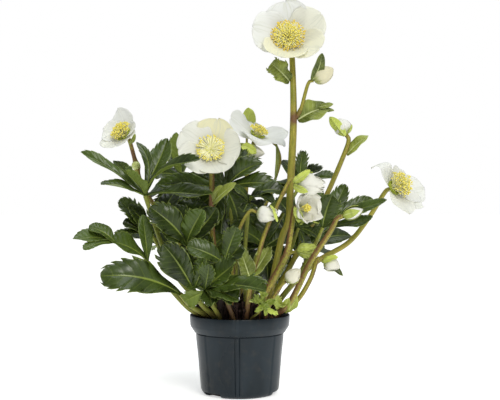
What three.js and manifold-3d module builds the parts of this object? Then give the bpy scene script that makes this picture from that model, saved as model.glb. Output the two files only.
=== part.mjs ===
// A Christmas rose (Helleborus niger) in its 12 cm nursery pot, as a scene graph of separate pieces.
// Millimetres, +Z up. The origin is the centre of the pot's underside and the plant's face looks along -Y.
//
// Inside the pot a flat crown of rootstock lies buried in compost. Every leaf stalk and flower stem
// stands on that crown and comes up through its own hole in the compost. Buds, flowers and bracts are
// carried by the stems. Pieces that touch keep a running gap, so that each one is a closed solid.

import * as THREE from "three";
import { mergeVertices } from "three/addons/utils/BufferGeometryUtils.js";
import Module from "manifold-3d";

const wasm = await Module();
wasm.setup();

// ---------------------------------------------------------------- driving dimensions
const GAP = 0.3; // between pieces that touch

const POT = {
  height: 94,
  rimRadius: 60,
  bandFoot: 81, // the rim band's lower edge
  shoulder: 75, // where the chamfer under the band meets the body
  bodyTopRadius: 53,
  bodyFootRadius: 47,
  cornerHeight: 9, // of the rounding round the foot, made with two slopes
  cornerMiddle: 3.5,
  cornerInset: 1.5,
  footRadius: 41,
  draft: 0.7, // how much the rim band narrows downwards
  wall: 1.3,
  segments: 36,
};
const NOTCH = { count: 3, first: -46, width: 34, height: 5, innerRadius: 34 }; // drain notches, degrees
const SOIL = { edge: 86, shoulderRadius: 52, top: 91, slack: 1 }; // slack: clear of the rim band's wall
const CROWN = { top: 74, waist: 62, foot: 50, radius: 49.5, lobes: 6, ripple: 0.02, sides: 18 };
const ROOT = { count: 6, sides: 4, radius: 1.9, reach: 34, foot: 7, stagger: 4 };
// Bases of old leaves that stand on the crown and lean outwards: [x, y, height of the end, radius].
const OLD_BASES = [
  [-38, 0, 103, 2.6],
  [-31, 5, 105, 2],
  [-19, 2, 109, 2.3],
  [-9, -3, 113, 2.5],
  [-20, 16, 106, 2.5],
  [-12, -15, 107, 2.5],
  [-5, -35, 105, 2.2],
  [4, -29, 112, 2.3],
  [2, 6, 112, 2.3],
  [18, -18, 114, 2.5],
  [27, -15, 107, 2.6],
  [29, -28, 102, 2.5],
  [11, -1, 108, 2.5],
  [30, 4, 110, 2.4],
  [-23, 27, 107, 2.2],
];
const OLD_BASE = { foot: 70, lean: 1.14, taper: 0.85 };
const STEM_SIDES = 6;
const STALK_SIDES = 5; // of a leaf
const LEAF_THICKNESS = 1.4; // at the midrib, to nothing at the margin
const LEAF_STALK = 2.5; // a leaf stalk's radius halfway up
const SOIL_LINE = 92; // a stalk is upright up to here

const COLOURS = {
  plastic: { color: 0x3a4146, roughness: 0.45, metalness: 0 },
  compost: { color: 0x2a1d16, roughness: 1, metalness: 0 },
  rootstock: { color: 0x4a3424, roughness: 0.9, metalness: 0 },
  leaf: { color: 0x2c4a22, roughness: 0.4, metalness: 0 },
  stem: { color: 0x8a9440, roughness: 0.5, metalness: 0 },
  bract: { color: 0x6f8f35, roughness: 0.45, metalness: 0 },
  sepal: { color: 0xf1f1ea, roughness: 0.5, metalness: 0 },
  stamen: { color: 0xe4cb3e, roughness: 0.7, metalness: 0 },
  bud: { color: 0xecead2, roughness: 0.5, metalness: 0 },
};
const MATERIALS = Object.fromEntries(
  Object.entries(COLOURS).map(([name, look]) => [name, new THREE.MeshStandardMaterial(look)]),
);

// ---------------------------------------------------------------- solids
const vec = (a) => new THREE.Vector3(...a);
const radians = THREE.MathUtils.degToRad;

function solidOf(geometry) {
  const bare = geometry.clone();
  bare.deleteAttribute("normal");
  bare.deleteAttribute("uv");
  const merged = mergeVertices(bare, 1e-4);
  return new wasm.Manifold(
    new wasm.Mesh({
      numProp: 3,
      vertProperties: merged.attributes.position.array,
      triVerts: new Uint32Array(merged.index.array),
    }),
  );
}

function geometryOf(solid) {
  const mesh = solid.getMesh();
  const geometry = new THREE.BufferGeometry();
  geometry.setAttribute("position", new THREE.BufferAttribute(Float32Array.from(mesh.vertProperties), 3));
  geometry.setIndex(Array.from(mesh.triVerts));
  geometry.computeVertexNormals();
  return geometry;
}

// A closed skin over rings of points. Each ring runs anticlockwise seen from the next one's side,
// and a ring of one point closes an end to a tip.
function loft(rings) {
  const points = rings.flat();
  const starts = rings.reduce((list, ring) => [...list, list.at(-1) + ring.length], [0]);
  const index = [];
  const wide = Math.max(...rings.map((ring) => ring.length));
  const at = (r, k) => starts[r] + (rings[r].length === 1 ? 0 : k % wide);
  for (let r = 0; r + 1 < rings.length; r++) {
    for (let k = 0; k < wide; k++) {
      if (rings[r].length > 1) index.push(at(r, k), at(r, k + 1), at(r + 1, k));
      if (rings[r + 1].length > 1) index.push(at(r, k + 1), at(r + 1, k + 1), at(r + 1, k));
    }
  }
  const last = rings.length - 1;
  for (let k = 1; k + 1 < wide; k++) {
    if (rings[0].length > 1) index.push(at(0, 0), at(0, k + 1), at(0, k));
    if (rings[last].length > 1) index.push(at(last, 0), at(last, k), at(last, k + 1));
  }
  const geometry = new THREE.BufferGeometry().setFromPoints(points);
  geometry.setIndex(index);
  return geometry;
}

// Two unit vectors across a direction, steady along a path because they are made from one hint.
function across(direction, hint) {
  const side = new THREE.Vector3().crossVectors(direction, hint).normalize();
  return [side, new THREE.Vector3().crossVectors(side, direction).normalize()];
}

function ringAround(centre, direction, hint, radius, sides) {
  const [u, v] = across(direction, hint);
  return Array.from({ length: sides }, (_, k) => {
    const a = (k / sides) * 2 * Math.PI;
    const point = centre.clone().addScaledVector(u, radius * Math.cos(a));
    return point.addScaledVector(v, -radius * Math.sin(a));
  });
}

const FLAT_HINT = new THREE.Vector3(0.13, 1, 0.05).normalize(); // no stalk runs along this

// A stalk through a row of points, with one ring at each and one halfway to the next. Between its
// first two points, where it is buried, it is straight.
function tube(points, footRadius, tipRadius, sides = STEM_SIDES) {
  const curve = new THREE.CatmullRomCurve3(points.map(vec), false, "catmullrom", 0.5);
  const steps = 2 * (points.length - 1);
  const rings = [];
  for (let k = 0; k <= steps; k++) {
    if (k === 1) continue;
    const t = k / steps;
    const radius = footRadius + (tipRadius - footRadius) * t;
    rings.push(ringAround(curve.getPoint(t), curve.getTangent(t), FLAT_HINT, radius, sides));
  }
  return solidOf(loft(rings));
}

// A round body of revolution from one point towards another, such as a bud. The profile is a list of
// [share of the length, radius].
function spindle(from, to, profile, sides = 8) {
  const axis = to.clone().sub(from);
  const hint = Math.abs(axis.y) > 0.8 * axis.length() ? new THREE.Vector3(0, 0, 1) : FLAT_HINT;
  const rings = profile.map(([share, radius]) => {
    const centre = from.clone().addScaledVector(axis, share);
    return radius === 0 ? [centre] : ringAround(centre, axis.clone().normalize(), hint, radius, sides);
  });
  return solidOf(loft(rings));
}

function turned(profile, segments) {
  const points = profile.map(([r, z]) => new THREE.Vector2(r, z));
  return solidOf(new THREE.LatheGeometry(points, segments).rotateX(Math.PI / 2));
}

function union(solids) {
  return solids.reduce((all, solid) => all.add(solid));
}

// ---------------------------------------------------------------- pot, compost and rootstock
function potSolid() {
  const { height, rimRadius, wall } = POT;
  const outside = [
    [0, 0],
    [POT.footRadius, 0],
    [POT.bodyFootRadius - POT.cornerInset, POT.cornerMiddle],
    [POT.bodyFootRadius, POT.cornerHeight],
    [POT.bodyTopRadius, POT.shoulder],
    [rimRadius - POT.draft, POT.bandFoot],
    [rimRadius, height],
  ];
  const inside = outside
    .slice(1, -1)
    .map(([r, z]) => [r - wall, Math.max(z, wall)])
    .reverse();
  const shell = turned([...outside, [rimRadius - wall, height], ...inside, [0, wall]], POT.segments);
  return shell.subtract(union(Array.from({ length: NOTCH.count }, (_, k) => notchCutter(k))));
}

function notchCutter(k) {
  const middle = radians(NOTCH.first - 90 + (k * 360) / NOTCH.count);
  const half = radians(NOTCH.width / 2);
  const sector = new THREE.Shape();
  sector.absarc(0, 0, POT.rimRadius, middle - half, middle + half);
  sector.absarc(0, 0, NOTCH.innerRadius, middle + half, middle - half, true);
  const depth = NOTCH.height + 1;
  return solidOf(
    new THREE.ExtrudeGeometry(sector, { depth, bevelEnabled: false, curveSegments: 3 }).translate(0, 0, -1),
  );
}

function soilBlock() {
  const clear = POT.wall + GAP;
  return turned(
    [
      [0, clear],
      [POT.footRadius - clear, clear],
      [POT.bodyFootRadius - clear - POT.cornerInset, POT.cornerMiddle + GAP],
      [POT.bodyFootRadius - clear, POT.cornerHeight],
      [POT.bodyTopRadius - clear, POT.shoulder],
      [POT.rimRadius - clear - SOIL.slack, POT.bandFoot],
      [POT.rimRadius - clear - SOIL.slack, SOIL.edge],
      [SOIL.shoulderRadius, SOIL.top],
      [0, SOIL.top],
    ],
    POT.segments,
  );
}

// The rootstock's lobed crown with its cord roots and the bases of old leaves. grow makes the space that it needs in the compost.
function rootstockSolid(grow) {
  const levels = [
    [CROWN.foot - grow, 0.5],
    [CROWN.waist, 0.84],
    [CROWN.top + grow, 0.96],
  ];
  const rings = levels.map(([z, share]) =>
    Array.from({ length: CROWN.sides }, (_, k) => {
      const a = (k / CROWN.sides) * 2 * Math.PI;
      const r = CROWN.radius * share * (1 + CROWN.ripple * Math.cos(CROWN.lobes * a)) + grow;
      return new THREE.Vector3(r * Math.cos(a), r * Math.sin(a), z);
    }),
  );
  const roots = Array.from({ length: ROOT.count }, (_, k) => {
    const a = ((k + 0.4) / ROOT.count) * 2 * Math.PI;
    const out = (share, z) => [ROOT.reach * share * Math.cos(a), ROOT.reach * share * Math.sin(a), z];
    const foot = ROOT.foot + (k % 3) * ROOT.stagger - 2 * grow;
    return tube(
      [out(0.4, CROWN.foot + 5), out(0.7, 34), out(1, 20), out(0.85, foot)],
      ROOT.radius + 3 * grow,
      ROOT.radius * 0.6 + 3 * grow,
      ROOT.sides,
    );
  });
  const bases = OLD_BASES.map(([x, y, end, radius]) => {
    const points = [[x, y, OLD_BASE.foot], [x, y, SOIL_LINE], [x * OLD_BASE.lean, y * OLD_BASE.lean, end + grow]];
    return tube(points, radius + grow, radius * OLD_BASE.taper + grow);
  });
  return union([solidOf(loft(rings)), ...roots, ...bases]);
}

// ---------------------------------------------------------------- leaves
const turnedAbout = (v, axis, degrees) => v.clone().applyAxisAngle(axis, radians(degrees));

// A frame for a blade that runs from one point to another with its upper side looking along facing.
function bladeFrame(from, to, facing, roll = 0) {
  const ahead = vec(to).sub(vec(from));
  const length = ahead.length();
  ahead.normalize();
  const level = vec(facing);
  level.addScaledVector(ahead, -level.dot(ahead)).normalize();
  const normal = turnedAbout(level, ahead, roll);
  return { from: vec(from), length, ahead, normal, side: new THREE.Vector3().crossVectors(ahead, normal) };
}

// Half the width of a leaflet along its length, as a share of its widest: a wedge foot, widest past
// the middle, and a pointed end.
const LEAFLET_STATIONS = [
  [0, 0.13],
  [0.32, 0.7],
  [0.63, 1],
  [0.86, 0.68],
];

// One leaflet. Its midrib bows up by bow times its length on the way to the tip, and the blade is
// folded up a little on both sides of the midrib.
function leaflet({ from, tip, facing, width, bow = 0.1, roll = 0, fold = 0.18 }) {
  const frame = bladeFrame(from, tip, facing, roll);
  const rings = LEAFLET_STATIONS.map(([s, share]) => {
    const rise = 4 * bow * frame.length * s * (1 - s);
    const middle = frame.from
      .clone()
      .addScaledVector(frame.ahead, frame.length * s)
      .addScaledVector(frame.normal, rise);
    const up = frame.normal.clone().addScaledVector(frame.ahead, -4 * bow * (1 - 2 * s)).normalize();
    const half = (share * width) / 2;
    const edge = (sign) =>
      middle.clone().addScaledVector(frame.side, sign * half).addScaledVector(up, fold * half);
    return [
      edge(-1),
      middle.clone().addScaledVector(up, LEAF_THICKNESS / 2),
      edge(1),
      middle.clone().addScaledVector(up, -LEAF_THICKNESS / 2),
    ];
  });
  return solidOf(loft([...rings, [vec(tip)]]));
}

// deeper carries the foot on into the crown, for the hole that a stalk stands in.
function stalkPath(foot, points, deeper = 0) {
  return [[...foot, CROWN.top + GAP - deeper], [...foot, SOIL_LINE], ...points];
}

// The leaflets of one hub, which a small knob holds together.
function fan(hub, leaflets, facing, knob) {
  const nearest = vec(leaflets[0]).sub(vec(hub)).normalize();
  const ends = [-1, 1].map((sign) => vec(hub).addScaledVector(nearest, sign * (knob + 1.5)));
  const blades = leaflets.map(([x, y, z, width, bow, roll]) =>
    leaflet({ from: hub, tip: [x, y, z], facing, width, bow, roll }),
  );
  return union([spindle(...ends, [[0, knob * 0.5], [0.5, knob], [1, knob * 0.5]], 6), ...blades]);
}

function leafSolid(spec) {
  const { foot, via, hub, facing, leaflets, lobes, radius = LEAF_STALK } = spec;
  const stalk = tube(stalkPath(foot, [...via, hub]), radius + 0.5, radius - 0.4, STALK_SIDES);
  const blades = [fan(hub, leaflets, facing, radius + 0.4)];
  if (lobes) blades.push(fan(lobes.from, lobes.leaflets, facing, 2));
  return union([stalk, ...blades]);
}

// Leaflets spread evenly round a hub, for a leaf that lies open: heading is the way of its middle one.
// droop, width and bow are shares of a leaflet's length, and shrink is the turn at which none is left.
const SPREAD = { turns: [-105, -70, -35, 0, 35, 70, 105], shrink: 260, droop: 0.25, width: 0.33, bow: 0.16 };

function spread(hub, facing, heading, length) {
  const up = vec(facing).normalize();
  const ahead = vec(heading);
  ahead.addScaledVector(up, -ahead.dot(up)).normalize();
  return SPREAD.turns.map((degrees) => {
    const size = length * (1 - Math.abs(degrees) / SPREAD.shrink);
    const tip = vec(hub).addScaledVector(turnedAbout(ahead, up, degrees), size);
    tip.addScaledVector(up, -SPREAD.droop * size);
    return [...tip.toArray().map(Math.round), Math.round(size * SPREAD.width), SPREAD.bow];
  });
}

// Each leaf: the foot of its stalk on the crown, the points that the stalk passes, its hub, the way
// its upper side looks, and its leaflets as [tip x, y, z, width, bow].
const LEAVES = {
  leaf_left_high: {
    foot: [-33, -8],
    via: [[-71, -16, 136], [-90, -22, 174]],
    hub: [-111, -26, 236],
    facing: [-0.1, -0.5, 0.85],
    leaflets: [
      [-31, -42, 238, 23, 0.05],
      [-45, -64, 278, 20, 0.2],
      [-87, 0, 305, 28, 0.08],
      [-124, 6, 301, 13, 0.14],
      [-130, -56, 265, 24, 0.1],
      [-186, -30, 287, 15, 0.05],
      [-159, -54, 250, 19, 0.05],
      [-153, 12, 279, 14, 0.06],
    ],
    radius: 2.9,
  },
  leaf_left_middle: {
    foot: [-42, -14],
    via: [[-61, -26, 105], [-89, -38, 138]],
    hub: [-106, -44, 159],
    facing: [0.1, -0.55, 0.83],
    leaflets: [
      [-150, -60, 185, 22, 0.1],
      [-112, -46, 214, 14, 0.06],
    ],
    lobes: {
      from: [-141, -58, 182],
      leaflets: [
        [-186, -72, 186, 14, 0.12],
        [-174, -58, 200, 13, 0.12],
        [-175, -80, 176, 12, 0.1],
      ],
    },
  },
  leaf_left_low: {
    foot: [-36, -24],
    via: [[-56, -40, 108]],
    hub: [-68, -50, 123],
    facing: [-0.1, -0.75, 0.65],
    leaflets: [
      [-133, -72, 158, 27, 0.08],
      [-151, -84, 142, 33, 0.1],
      [-144, -94, 128, 22, 0.1],
    ],
  },
  leaf_front_left: {
    foot: [-28, -30],
    via: [[-43, -42, 109]],
    hub: [-52, -58, 128],
    facing: [-0.3, -0.9, 0.3],
    leaflets: [
      [-86, -74, 181, 34, 0.08],
      [-40, -80, 167, 18, 0.05],
      [-69, -58, 178, 22, 0.05],
    ],
  },
  leaf_front_low: {
    foot: [-22, -38],
    via: [[-31, -56, 111]],
    hub: [-38, -68, 128],
    facing: [0, -0.5, 0.87],
    leaflets: [
      [-3, -86, 163, 22, 0.1],
      [28, -102, 131, 24, 0.14],
      [-2, -114, 128, 20, 0.12],
      [-34, -92, 160, 16, 0.08],
      [-49, -108, 116, 18, 0.1],
    ],
  },
  leaf_centre_low: {
    foot: [-7, -41],
    via: [[-18, -52, 128]],
    hub: [-17, -60, 159],
    facing: [0, -0.8, 0.6],
    leaflets: [
      [-59, -68, 179, 24, 0.12],
      [-3, -66, 200, 19, 0.05],
      [3, -58, 180, 20, 0.08],
    ],
  },
  leaf_centre: {
    foot: [-18, -20],
    via: [[-46, -32, 132]],
    hub: [-61, -40, 178],
    facing: [-0.1, -0.8, 0.6],
    leaflets: [
      [-103, -50, 223, 32, 0.12],
      [-42, -54, 220, 26, 0.1],
      [-27, -36, 222, 26, 0.08],
      [-89, -58, 194, 16, 0.08],
      [-75, -26, 226, 28, 0.08],
    ],
  },
  leaf_middle_low: {
    foot: [-26, -4],
    via: [[-39, -12, 122]],
    hub: [-43, -16, 158],
    facing: [0, -0.75, 0.66],
    leaflets: [
      [-81, -8, 164, 24, 0.08],
      [-64, -10, 188, 24, 0.08],
      [-35, -21, 189, 24, 0.08],
      [-11, -31, 170, 24, 0.08],
      [-67, 4, 139, 22, 0.1],
      [-20, -39, 133, 24, 0.1],
      [-54, 51, 205, 24, 0.12, 5],
    ],
  },
  leaf_middle: {
    foot: [9, 5],
    via: [[19, 9, 134]],
    hub: [29, 14, 173],
    facing: [0, -0.75, 0.66],
    leaflets: [
      [0, 8, 188, 26, 0.08],
      [12, 18, 212, 26, 0.08],
      [39, 22, 216, 26, 0.08],
      [64, 24, 192, 26, 0.08],
      [62, 26, 157, 24, 0.08],
      [7, 4, 149, 24, 0.1],
      [-11, -2, 200, 26, 0.19, -1],
      [-21, 51, 157, 25, 0.16],
      [35, 37, 126, 26, 0.14, -3],
      [59, 59, 130, 26, 0.12, -1],
    ],
  },
  leaf_centre_right: {
    foot: [8, -14],
    via: [[6, -20, 160]],
    hub: [11, -28, 229],
    facing: [0.1, -0.6, 0.8],
    leaflets: [
      [52, -34, 240, 22, 0.24],
      [39, -50, 228, 15, 0.26],
      [4, -56, 218, 13, 0],
      [-6, -40, 247, 14, 0.1],
      [26, -18, 214, 20, 0.1],
    ],
  },
  leaf_right: {
    foot: [36, -4],
    via: [[70, -4, 141], [89, -5, 176]],
    hub: [99, -7, 198],
    facing: [0.1, -0.75, 0.65],
    leaflets: [
      [128, 10, 250, 19, 0.05],
      [109, -24, 237, 26, 0.08],
      [161, 4, 231, 19, 0.12],
      [172, -34, 231, 13, 0.05],
      [157, -24, 211, 15, 0.06],
    ],
  },
  leaf_right_low: {
    foot: [17, 3],
    via: [[53, 8, 152]],
    hub: [71, 10, 197],
    facing: [0.2, -0.7, 0.65],
    leaflets: [
      [103, 24, 180, 22, 0.1],
      [96, 18, 216, 22, 0.08],
      [98, 30, 243, 24, 0.08],
      [48, 41, 232, 24, 0.13, -7],
      [79, 39, 154, 24, 0.14, 6],
    ],
  },
  leaf_right_high: {
    foot: [12, 14],
    via: [[29, 26, 170]],
    hub: [74, 46, 248],
    facing: [0.1, -0.5, 0.85],
    leaflets: [
      [79, 62, 293, 14, 0.05],
      [103, 40, 271, 18, 0.12],
      [117, 36, 259, 20, 0.1],
      [54, 66, 282, 20, 0.1],
      [103, 60, 231, 20, 0.1],
      [27, 84, 238, 24, 0.11, 3],
      [45, 87, 203, 24, 0.2, -1],
      [34, 89, 223, 24, 0.2, 4],
    ],
  },
  leaf_back_centre: {
    foot: [-5, 4],
    via: [[-5, 4, 171]],
    hub: [-17, 6, 245],
    facing: [0, -0.8, 0.6],
    leaflets: [
      [27, -6, 276, 24, 0.14],
      [44, -12, 249, 22, 0.16],
      [5, 26, 295, 24, 0.06],
      [-41, 18, 270, 22, 0.06],
      [-99, -2, 250, 24, 0.08],
      [-63, 30, 280, 22, 0.08],
      [-43, 6, 200, 28, 0.1],
      [0, 14, 199, 28, 0.1],
      [-64, 28, 249, 26, 0.1, 6],
      [-50, 14, 223, 26, 0.06, 4],
      [-24, 56, 183, 26, 0.11, -4],
      [20, 41, 212, 26, 0.06, 1],
    ],
  },
  leaf_left_back: {
    foot: [-38, 6],
    via: [[-82, 8, 146]],
    hub: [-106, 8, 189],
    facing: [-0.1, -0.65, 0.75],
    leaflets: [
      [-145, 6, 232, 23, 0.08],
      [-132, -10, 225, 18, 0.06],
      [-140, -2, 205, 22, 0.08],
      [-149, -14, 189, 14, 0.1],
      [-76, 20, 229, 28, 0.08],
      [-38, -4, 224, 32, 0.1],
      [-76, 24, 246, 24, 0.11, -1],
      [-64, 4, 206, 24, 0.15, -2],
    ],
  },
  leaf_back_high: {
    foot: [-16, 22],
    via: [[-55, 52, 181]],
    hub: [-74, 72, 259],
    facing: [-0.2, 0, 0.98],
    leaflets: [
      [-81, 66, 317, 17, 0.06],
      [-104, 86, 295, 20, 0.1],
      [-119, 108, 268, 22, 0.1],
      [-52, 94, 296, 22, 0.1],
      [-24, 82, 269, 24, 0.1],
      [-54, 128, 250, 24, 0.1],
      [-113, 39, 232, 28, 0.1, -3],
      [-95, 41, 218, 28, 0.11, -2],
      [-56, 38, 206, 28, 0.06, 1],
      [-38, 20, 226, 28, 0.13, 5],
    ],
  },
  leaf_back_left: {
    foot: [-30, 26],
    via: [[-48, 42, 122]],
    hub: [-76, 70, 164],
    facing: [-0.15, -0.65, 0.74],
    leaflets: [
      [-73, 113, 216, 28, 0.2, 1],
      [-44, 116, 209, 28, 0.08, 5],
      [-94, 118, 214, 28, 0.18, -5],
      [-35, 117, 171, 28, 0.15, -2],
      [-59, 120, 121, 27, 0.15, 2],
      [-145, 110, 196, 28, 0.13, 1],
      [-111, 146, 168, 28, 0.16, -1],
      [-54, 150, 182, 28, 0.14, -1],
    ],
  },
  leaf_back: {
    foot: [-6, 40],
    via: [[-9, 66, 128]],
    hub: [-4, 94, 158],
    facing: [0, -0.72, 0.69],
    leaflets: [
      [-23, 135, 220, 30, 0.04, -2],
      [10, 124, 233, 30, 0.18, -2],
      [33, 131, 219, 30, 0.04],
      [66, 138, 194, 29, 0.2, 1],
      [-45, 138, 197, 30, 0.07, -2],
      [-31, 162, 183, 26, 0.15, -6],
      [37, 170, 170, 26, 0.1, 6],
      [-29, 70, 113, 26, 0.06, 1],
      [25, 68, 112, 26, 0.11, -3],
    ],
  },
  leaf_back_right: {
    foot: [22, 36],
    via: [[42, 58, 120]],
    hub: [74, 80, 161],
    facing: [0.15, -0.65, 0.74],
    leaflets: [
      [48, 119, 204, 28, 0.13, -2],
      [61, 109, 224, 28, 0.17, -1],
      [93, 112, 233, 28, 0.13, 5],
      [111, 110, 205, 28, 0.13, 2],
      [40, 119, 150, 28, 0.04, 3],
      [145, 114, 184, 28, 0.11, -1],
      [113, 148, 166, 28, 0.08, 2],
      [59, 158, 179, 27, 0.14],
    ],
  },
  young_leaf: {
    foot: [13, -43],
    via: [[22, -54, 102]],
    hub: [27, -63, 111],
    facing: [0, -0.85, 0.5],
    heading: [0, 0.5, 0.85],
    length: 20,
    radius: 1.4,
  },
};

// ---------------------------------------------------------------- flowers and buds
// Sepals are [angle, length]: the angle runs clockwise from the top as the flower is seen from the
// front. cup is how far the rim stands before the base. heart is the radius of the stamens, boss
// their height.
const FLOWERS = {
  flower_top: {
    at: [60, -3, 424],
    facing: [-0.03, -0.93, 0.36],
    sepals: [[0, 45], [72, 44], [144, 43], [216, 43], [288, 44]],
    cup: 17,
    heart: 20,
    boss: 15,
  },
  flower_centre: {
    at: [-36, -27, 288],
    facing: [0.02, -0.91, 0.42],
    sepals: [[12, 38], [84, 37], [156, 37], [228, 37], [300, 38]],
    cup: 12,
    heart: 17,
    boss: 14,
  },
  flower_left: {
    at: [-138, 8, 308],
    facing: [-0.5, -0.62, 0.6],
    sepals: [[-20, 35], [52, 23], [124, 28], [196, 31], [268, 28]],
    cup: 17,
    heart: 12,
    boss: 16,
  },
  flower_right: {
    at: [182, 8, 244],
    facing: [0.8, -0.4, 0.45],
    sepals: [[-37, 34], [5, 28], [107, 44], [148, 34], [190, 40]],
    cup: 20,
    heart: 14,
    boss: 24,
  },
  flower_back: {
    at: [20, 45, 309],
    facing: [0.38, -0.3, 0.87],
    sepals: [[20, 36], [92, 35], [164, 33], [236, 36], [308, 42]],
    cup: 12,
    heart: 11,
    boss: 15,
  },
};
const SEPAL_THICKNESS = 1;
const RIM_STEPS = 25; // round a corolla
const RING_SHARES = [0.3, 0.62, 1];
const HEART_LIFT = 1.7; // of the stamens' foot over the corolla's

// How far the corolla reaches at an angle: a broad lobe for each sepal, and a narrow collar between.
function reach(sepals, degrees) {
  const lobes = sepals.map(([middle, length]) => {
    const away = Math.abs(((degrees - middle + 540) % 360) - 180) / 46;
    return length * Math.max(0.3, 1 - 0.45 * away ** 2.2);
  });
  return Math.max(...lobes);
}

function corollaSolid({ at, facing, sepals, cup }) {
  const normal = vec(facing).normalize();
  const up = new THREE.Vector3(0, 0, 1).addScaledVector(normal, -normal.z).normalize();
  const right = new THREE.Vector3().crossVectors(up, normal);
  const longest = Math.max(...sepals.map(([, length]) => length));
  const place = (share, degrees, lift) => {
    const r = share * reach(sepals, degrees);
    return vec(at)
      .addScaledVector(up, r * Math.cos(radians(degrees)))
      .addScaledVector(right, r * Math.sin(radians(degrees)))
      .addScaledVector(normal, cup * (r / longest) ** 1.7 + lift);
  };
  const ring = (share, lift) =>
    Array.from({ length: RIM_STEPS }, (_, k) => place(share, 360 - (k / RIM_STEPS) * 360, lift));
  return solidOf(
    loft([
      [vec(at)],
      ...RING_SHARES.map((share) => ring(share, 0)),
      ...RING_SHARES.toReversed().map((share) => ring(share, SEPAL_THICKNESS)),
      [vec(at).addScaledVector(normal, SEPAL_THICKNESS)],
    ]),
  );
}

// The flower's heart: the ring of nectaries with the boss of stamens and carpels, as one dome.
function heartSolid({ at, facing, heart, boss }) {
  const normal = vec(facing).normalize();
  const foot = vec(at).addScaledVector(normal, HEART_LIFT);
  const profile = [
    [0, heart * 0.1],
    [0.55, heart * 0.8],
    [0.8, heart],
    [1, heart * 0.7],
  ];
  return spindle(foot, foot.clone().addScaledVector(normal, boss), profile, 10);
}

const BUD_PROFILE = [
  [0, 0.3],
  [0.2, 0.85],
  [0.5, 1],
  [0.8, 0.72],
  [1, 0],
];
const BELL_PROFILE = [
  [0, 0.25],
  [0.2, 0.8],
  [0.55, 1],
  [0.85, 0.92],
  [1, 0.6],
];

// Buds and half-open flowers, from their foot on the stem towards their own tip.
const BUDS = {
  half_open_flower_upper: { from: [65, -49, 251], to: [94, -51, 248], radius: 13, profile: BELL_PROFILE },
  half_open_flower_lower: { from: [69, -34, 221], to: [85, -54, 223], radius: 13, profile: BELL_PROFILE },
  bud_top: { from: [88, -12, 373], to: [111, -12, 386], radius: 9.5 },
  bud_right_high: { from: [130, 25, 311], to: [122, 32, 331], radius: 10.5 },
  bud_centre: { from: [20, -58, 217], to: [40, -62, 213], radius: 11 },
  bud_low: { from: [54, -47, 137], to: [69, -50, 151], radius: 8 },
  bud_right_low: { from: [100, -12, 158], to: [119, -14, 151], radius: 9 },
  bud_back: { from: [3, 40, 294], to: [30, 30, 288], radius: 7.5 },
  bud_green: { from: [70, -14, 170], to: [88, -18, 174], radius: 9 },
  bud_right: { from: [121, -36, 212], to: [139, -40, 218], radius: 6.5 },
};

function budSolid({ from, to, radius, profile = BUD_PROFILE }) {
  return spindle(vec(from), vec(to), profile.map(([share, r]) => [share, r * radius]), 8);
}

// ---------------------------------------------------------------- stems
const NECK = 8; // the last straight length of a stem, in line with what it carries
const SEAT = 0.4;

// The last two points of a stem that carries a flower or a bud.
function neck(name) {
  if (!name) return [];
  const flower = FLOWERS[name];
  const bud = BUDS[name];
  const seat = vec(flower ? flower.at : bud.from);
  const axis = (flower ? vec(flower.facing) : vec(bud.to).sub(seat)).normalize();
  return [NECK, SEAT].map((back) => seat.clone().addScaledVector(axis, -back).toArray());
}

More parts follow.
